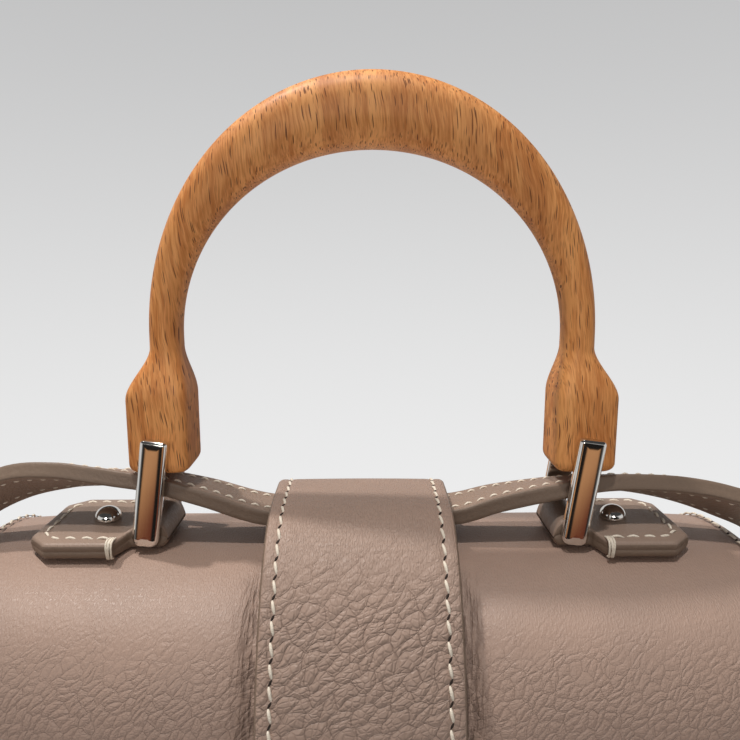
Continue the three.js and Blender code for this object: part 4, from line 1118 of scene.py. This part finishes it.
# The second colour is the crease colour: painted shade in the strap's creases and hollows.
strap_finish = grained_leather("strap leather", tint(148, 126, 111), tint(100, 82, 71),
                               1.2, -0.6, (0, 900), 0.00016, 0.44)
half_face = [(STRAP_HALF - 0.06, 0.0), (STRAP_HALF, 0.9), (STRAP_HALF, 1.6),
             (STRAP_HALF - 0.12, 1.9), (STRAP_HALF - 0.4, 2.08), (STRAP_HALF - 0.9, 2.14),
             (5.0, 2.14), (4.5, 2.07), (STRAP_SEAM, 2.0), (3.9, 2.07), (3.4, 2.14), (0.0, 2.15)]
top_half = half_face + [(-u, v) for u, v in half_face[-2::-1]]
section = np.array(top_half + [(-u, -v) for u, v in top_half[1:-1]])
kinds = [1 if abs(u) > 6.2 else 0 for u, _ in (section + np.roll(section, -1, 0)) / 2]
rings = [c + np.outer(section[:, 0], e) + np.outer(section[:, 1], f)
         for c, e, f in zip(strap_line, edge_way, face_way)]
strap = rounds("shoulder_strap_leather", rings, [strap_finish, edge_finish], kinds,
               flat=[(u, d + 60, v) for d in distances(strap_line) for u, v in section])
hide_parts("shoulder_strap")
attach(strap, "bag")
for label, side in (("front", 1), ("back", -1)):
    for face_name, up in (("top", 1), ("under", -1)):
        height = 2.08 if up > 0 else 1.75
        seam = strap_line + edge_way * STRAP_SEAM * side + face_way * height * up
        stitches = saddle_stitches(f"strap_stitches_{label}_{face_name}", seam[2:-2],
                                   edge_way[2:-2], face_way[2:-2] * up,
                                   3.5, 0.7, 0.08, 0.34, False)
        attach(stitches, "bag")


# Strap screws: two turned posts of the same nickel-plated metal clamp the lapped ends of the
# strap, with a flat, round-edged head above and below.
LAP_TOP = 12.8
post = [(0.2, 0.3), (3.6, 0.3), (3.95, 0.5), (4.0, 0.9), (3.9, 1.4), (1.6, 1.5)]
post += [(radius, LAP_TOP + rise) for radius, rise in (
    (1.6, -1.3), (3.9, -1.25), (4.0, -0.7), (3.9, -0.3), (3.5, -0.05), (2.4, 0.05), (0.2, 0.1))]
for label, side in BOTH_SIDES:
    screw = spun(f"strap_post_{label}", post, (side * 9, BACK, 0), [nickel_finish])
    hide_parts(f"strap_screw_{label}")
    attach(screw, "bag")


# Studio: a pale floor that fades into an even pale background, a key lamp above and behind to the
# left, a second lamp above and a weak wide one in front.
FLOOR_SIDES, FLOOR_REACH = 64, 1000
floor_points = [(0, 0, 0)] + [(FLOOR_REACH * math.cos(a), FLOOR_REACH * math.sin(a), 0)
                              for a in full_turn(FLOOR_SIDES)]
floor_faces = [(0, 1 + k, 1 + (k + 1) % FLOOR_SIDES) for k in range(FLOOR_SIDES)]
floor_finish = bpy.data.materials.new("pale floor")
floor_finish.use_nodes = True
floor_finish.node_tree.nodes.clear()
tone = Tone(floor_finish.node_tree)
reach = tone.node("ShaderNodeVectorMath", {"operation": "LENGTH"}, {0: own_place(tone)}, 1)
mirrored = tone.node("ShaderNodeLightPath", out=3)
paper = tone.node("ShaderNodeBsdfDiffuse", {}, {"Color": tint(226, 226, 227)})
clear = tone.node("ShaderNodeBsdfTransparent")
gone = tone.sum("MAXIMUM", ease(reach, 0.24, 0.44), mirrored)
faded = tone.node("ShaderNodeMixShader", {}, {0: gone, 1: paper, 2: clear})
tone.node("ShaderNodeOutputMaterial", {}, {"Surface": faded})
floor = make("floor", floor_points, floor_faces, [floor_finish])

world = bpy.data.worlds.new("studio")
bpy.context.scene.world = world
world.use_nodes = True
world.node_tree.nodes.clear()
tone = Tone(world.node_tree)
direction = tone.node("ShaderNodeTexCoord")
aside, height = abs(measure(direction, 0)), measure(direction, 2)
seen = shift(ease(height, -0.45, 0.55), (0.85, 0.85, 0.85, 1), (0.49, 0.49, 0.493, 1))
soft = shift(ease(height, 0.0, 0.75), (0.13, 0.125, 0.12, 1), (1.0, 1.0, 1.0, 1))
walls = shift(ease(height, 0.3, 0.42), (0.66, 0.66, 0.66, 1), (0.05, 0.05, 0.05, 1))
ahead = tone.node("ShaderNodeVectorMath", {"operation": "DOT_PRODUCT"},
                  {0: direction, 1: (0.0, -0.95, -0.31)}, 1)
dim = shift(ease(ahead, 0.66, 0.84), walls, (0.012, 0.011, 0.01, 1))
spread = (aside - 0.3) * (aside - 0.3) * 55.0 + (height + 0.34) * (height + 0.34) * 60.0
ember = shift(ease(height, -0.4, -0.27), (0.14, 0.04, 0.022, 1), (0.5, 0.25, 0.115, 1))
warm = shift(1 - ease(spread, 1.7, 3.2), dim, ember)
straight = tone.node("ShaderNodeLightPath")
glossy = tone.node("ShaderNodeLightPath", out=3)
colour = shift(straight, shift(glossy, soft, warm), seen)
strength = 0.36 + 0.64 * (straight + glossy)
backing = tone.node("ShaderNodeBackground", {}, {"Color": colour, "Strength": strength})
tone.node("ShaderNodeOutputWorld", {}, {"Surface": backing})


LAMP_AIM = np.array([0, 0, 0.15])


def lamp(name, place, size, power, colour):
    """A round area lamp that points at the middle of the bag's top."""
    light = bpy.data.lights.new(name, "AREA")
    light.shape = "DISK"
    light.size = size
    light.energy = power
    light.color = colour
    piece = bpy.data.objects.new(name, light)
    piece.location = place
    way = LAMP_AIM - place
    piece.rotation_euler = (math.acos(-way[2] / np.linalg.norm(way)), 0,
                            math.atan2(way[1], way[0]) - math.pi / 2)
    bpy.context.collection.objects.link(piece)


lamp("key", (-0.42, 0.15, 1.15), 0.05, 6.6, (1.0, 0.95, 0.9))
lamp("top", (-0.1, -0.22, 1.3), 0.08, 6.1, (1.0, 0.97, 0.94))
lamp("fill", (-0.1, -1.2, 0.48), 0.4, 2.8, (1.0, 0.97, 0.94))

bpy.context.scene.view_settings.view_transform = "Standard"
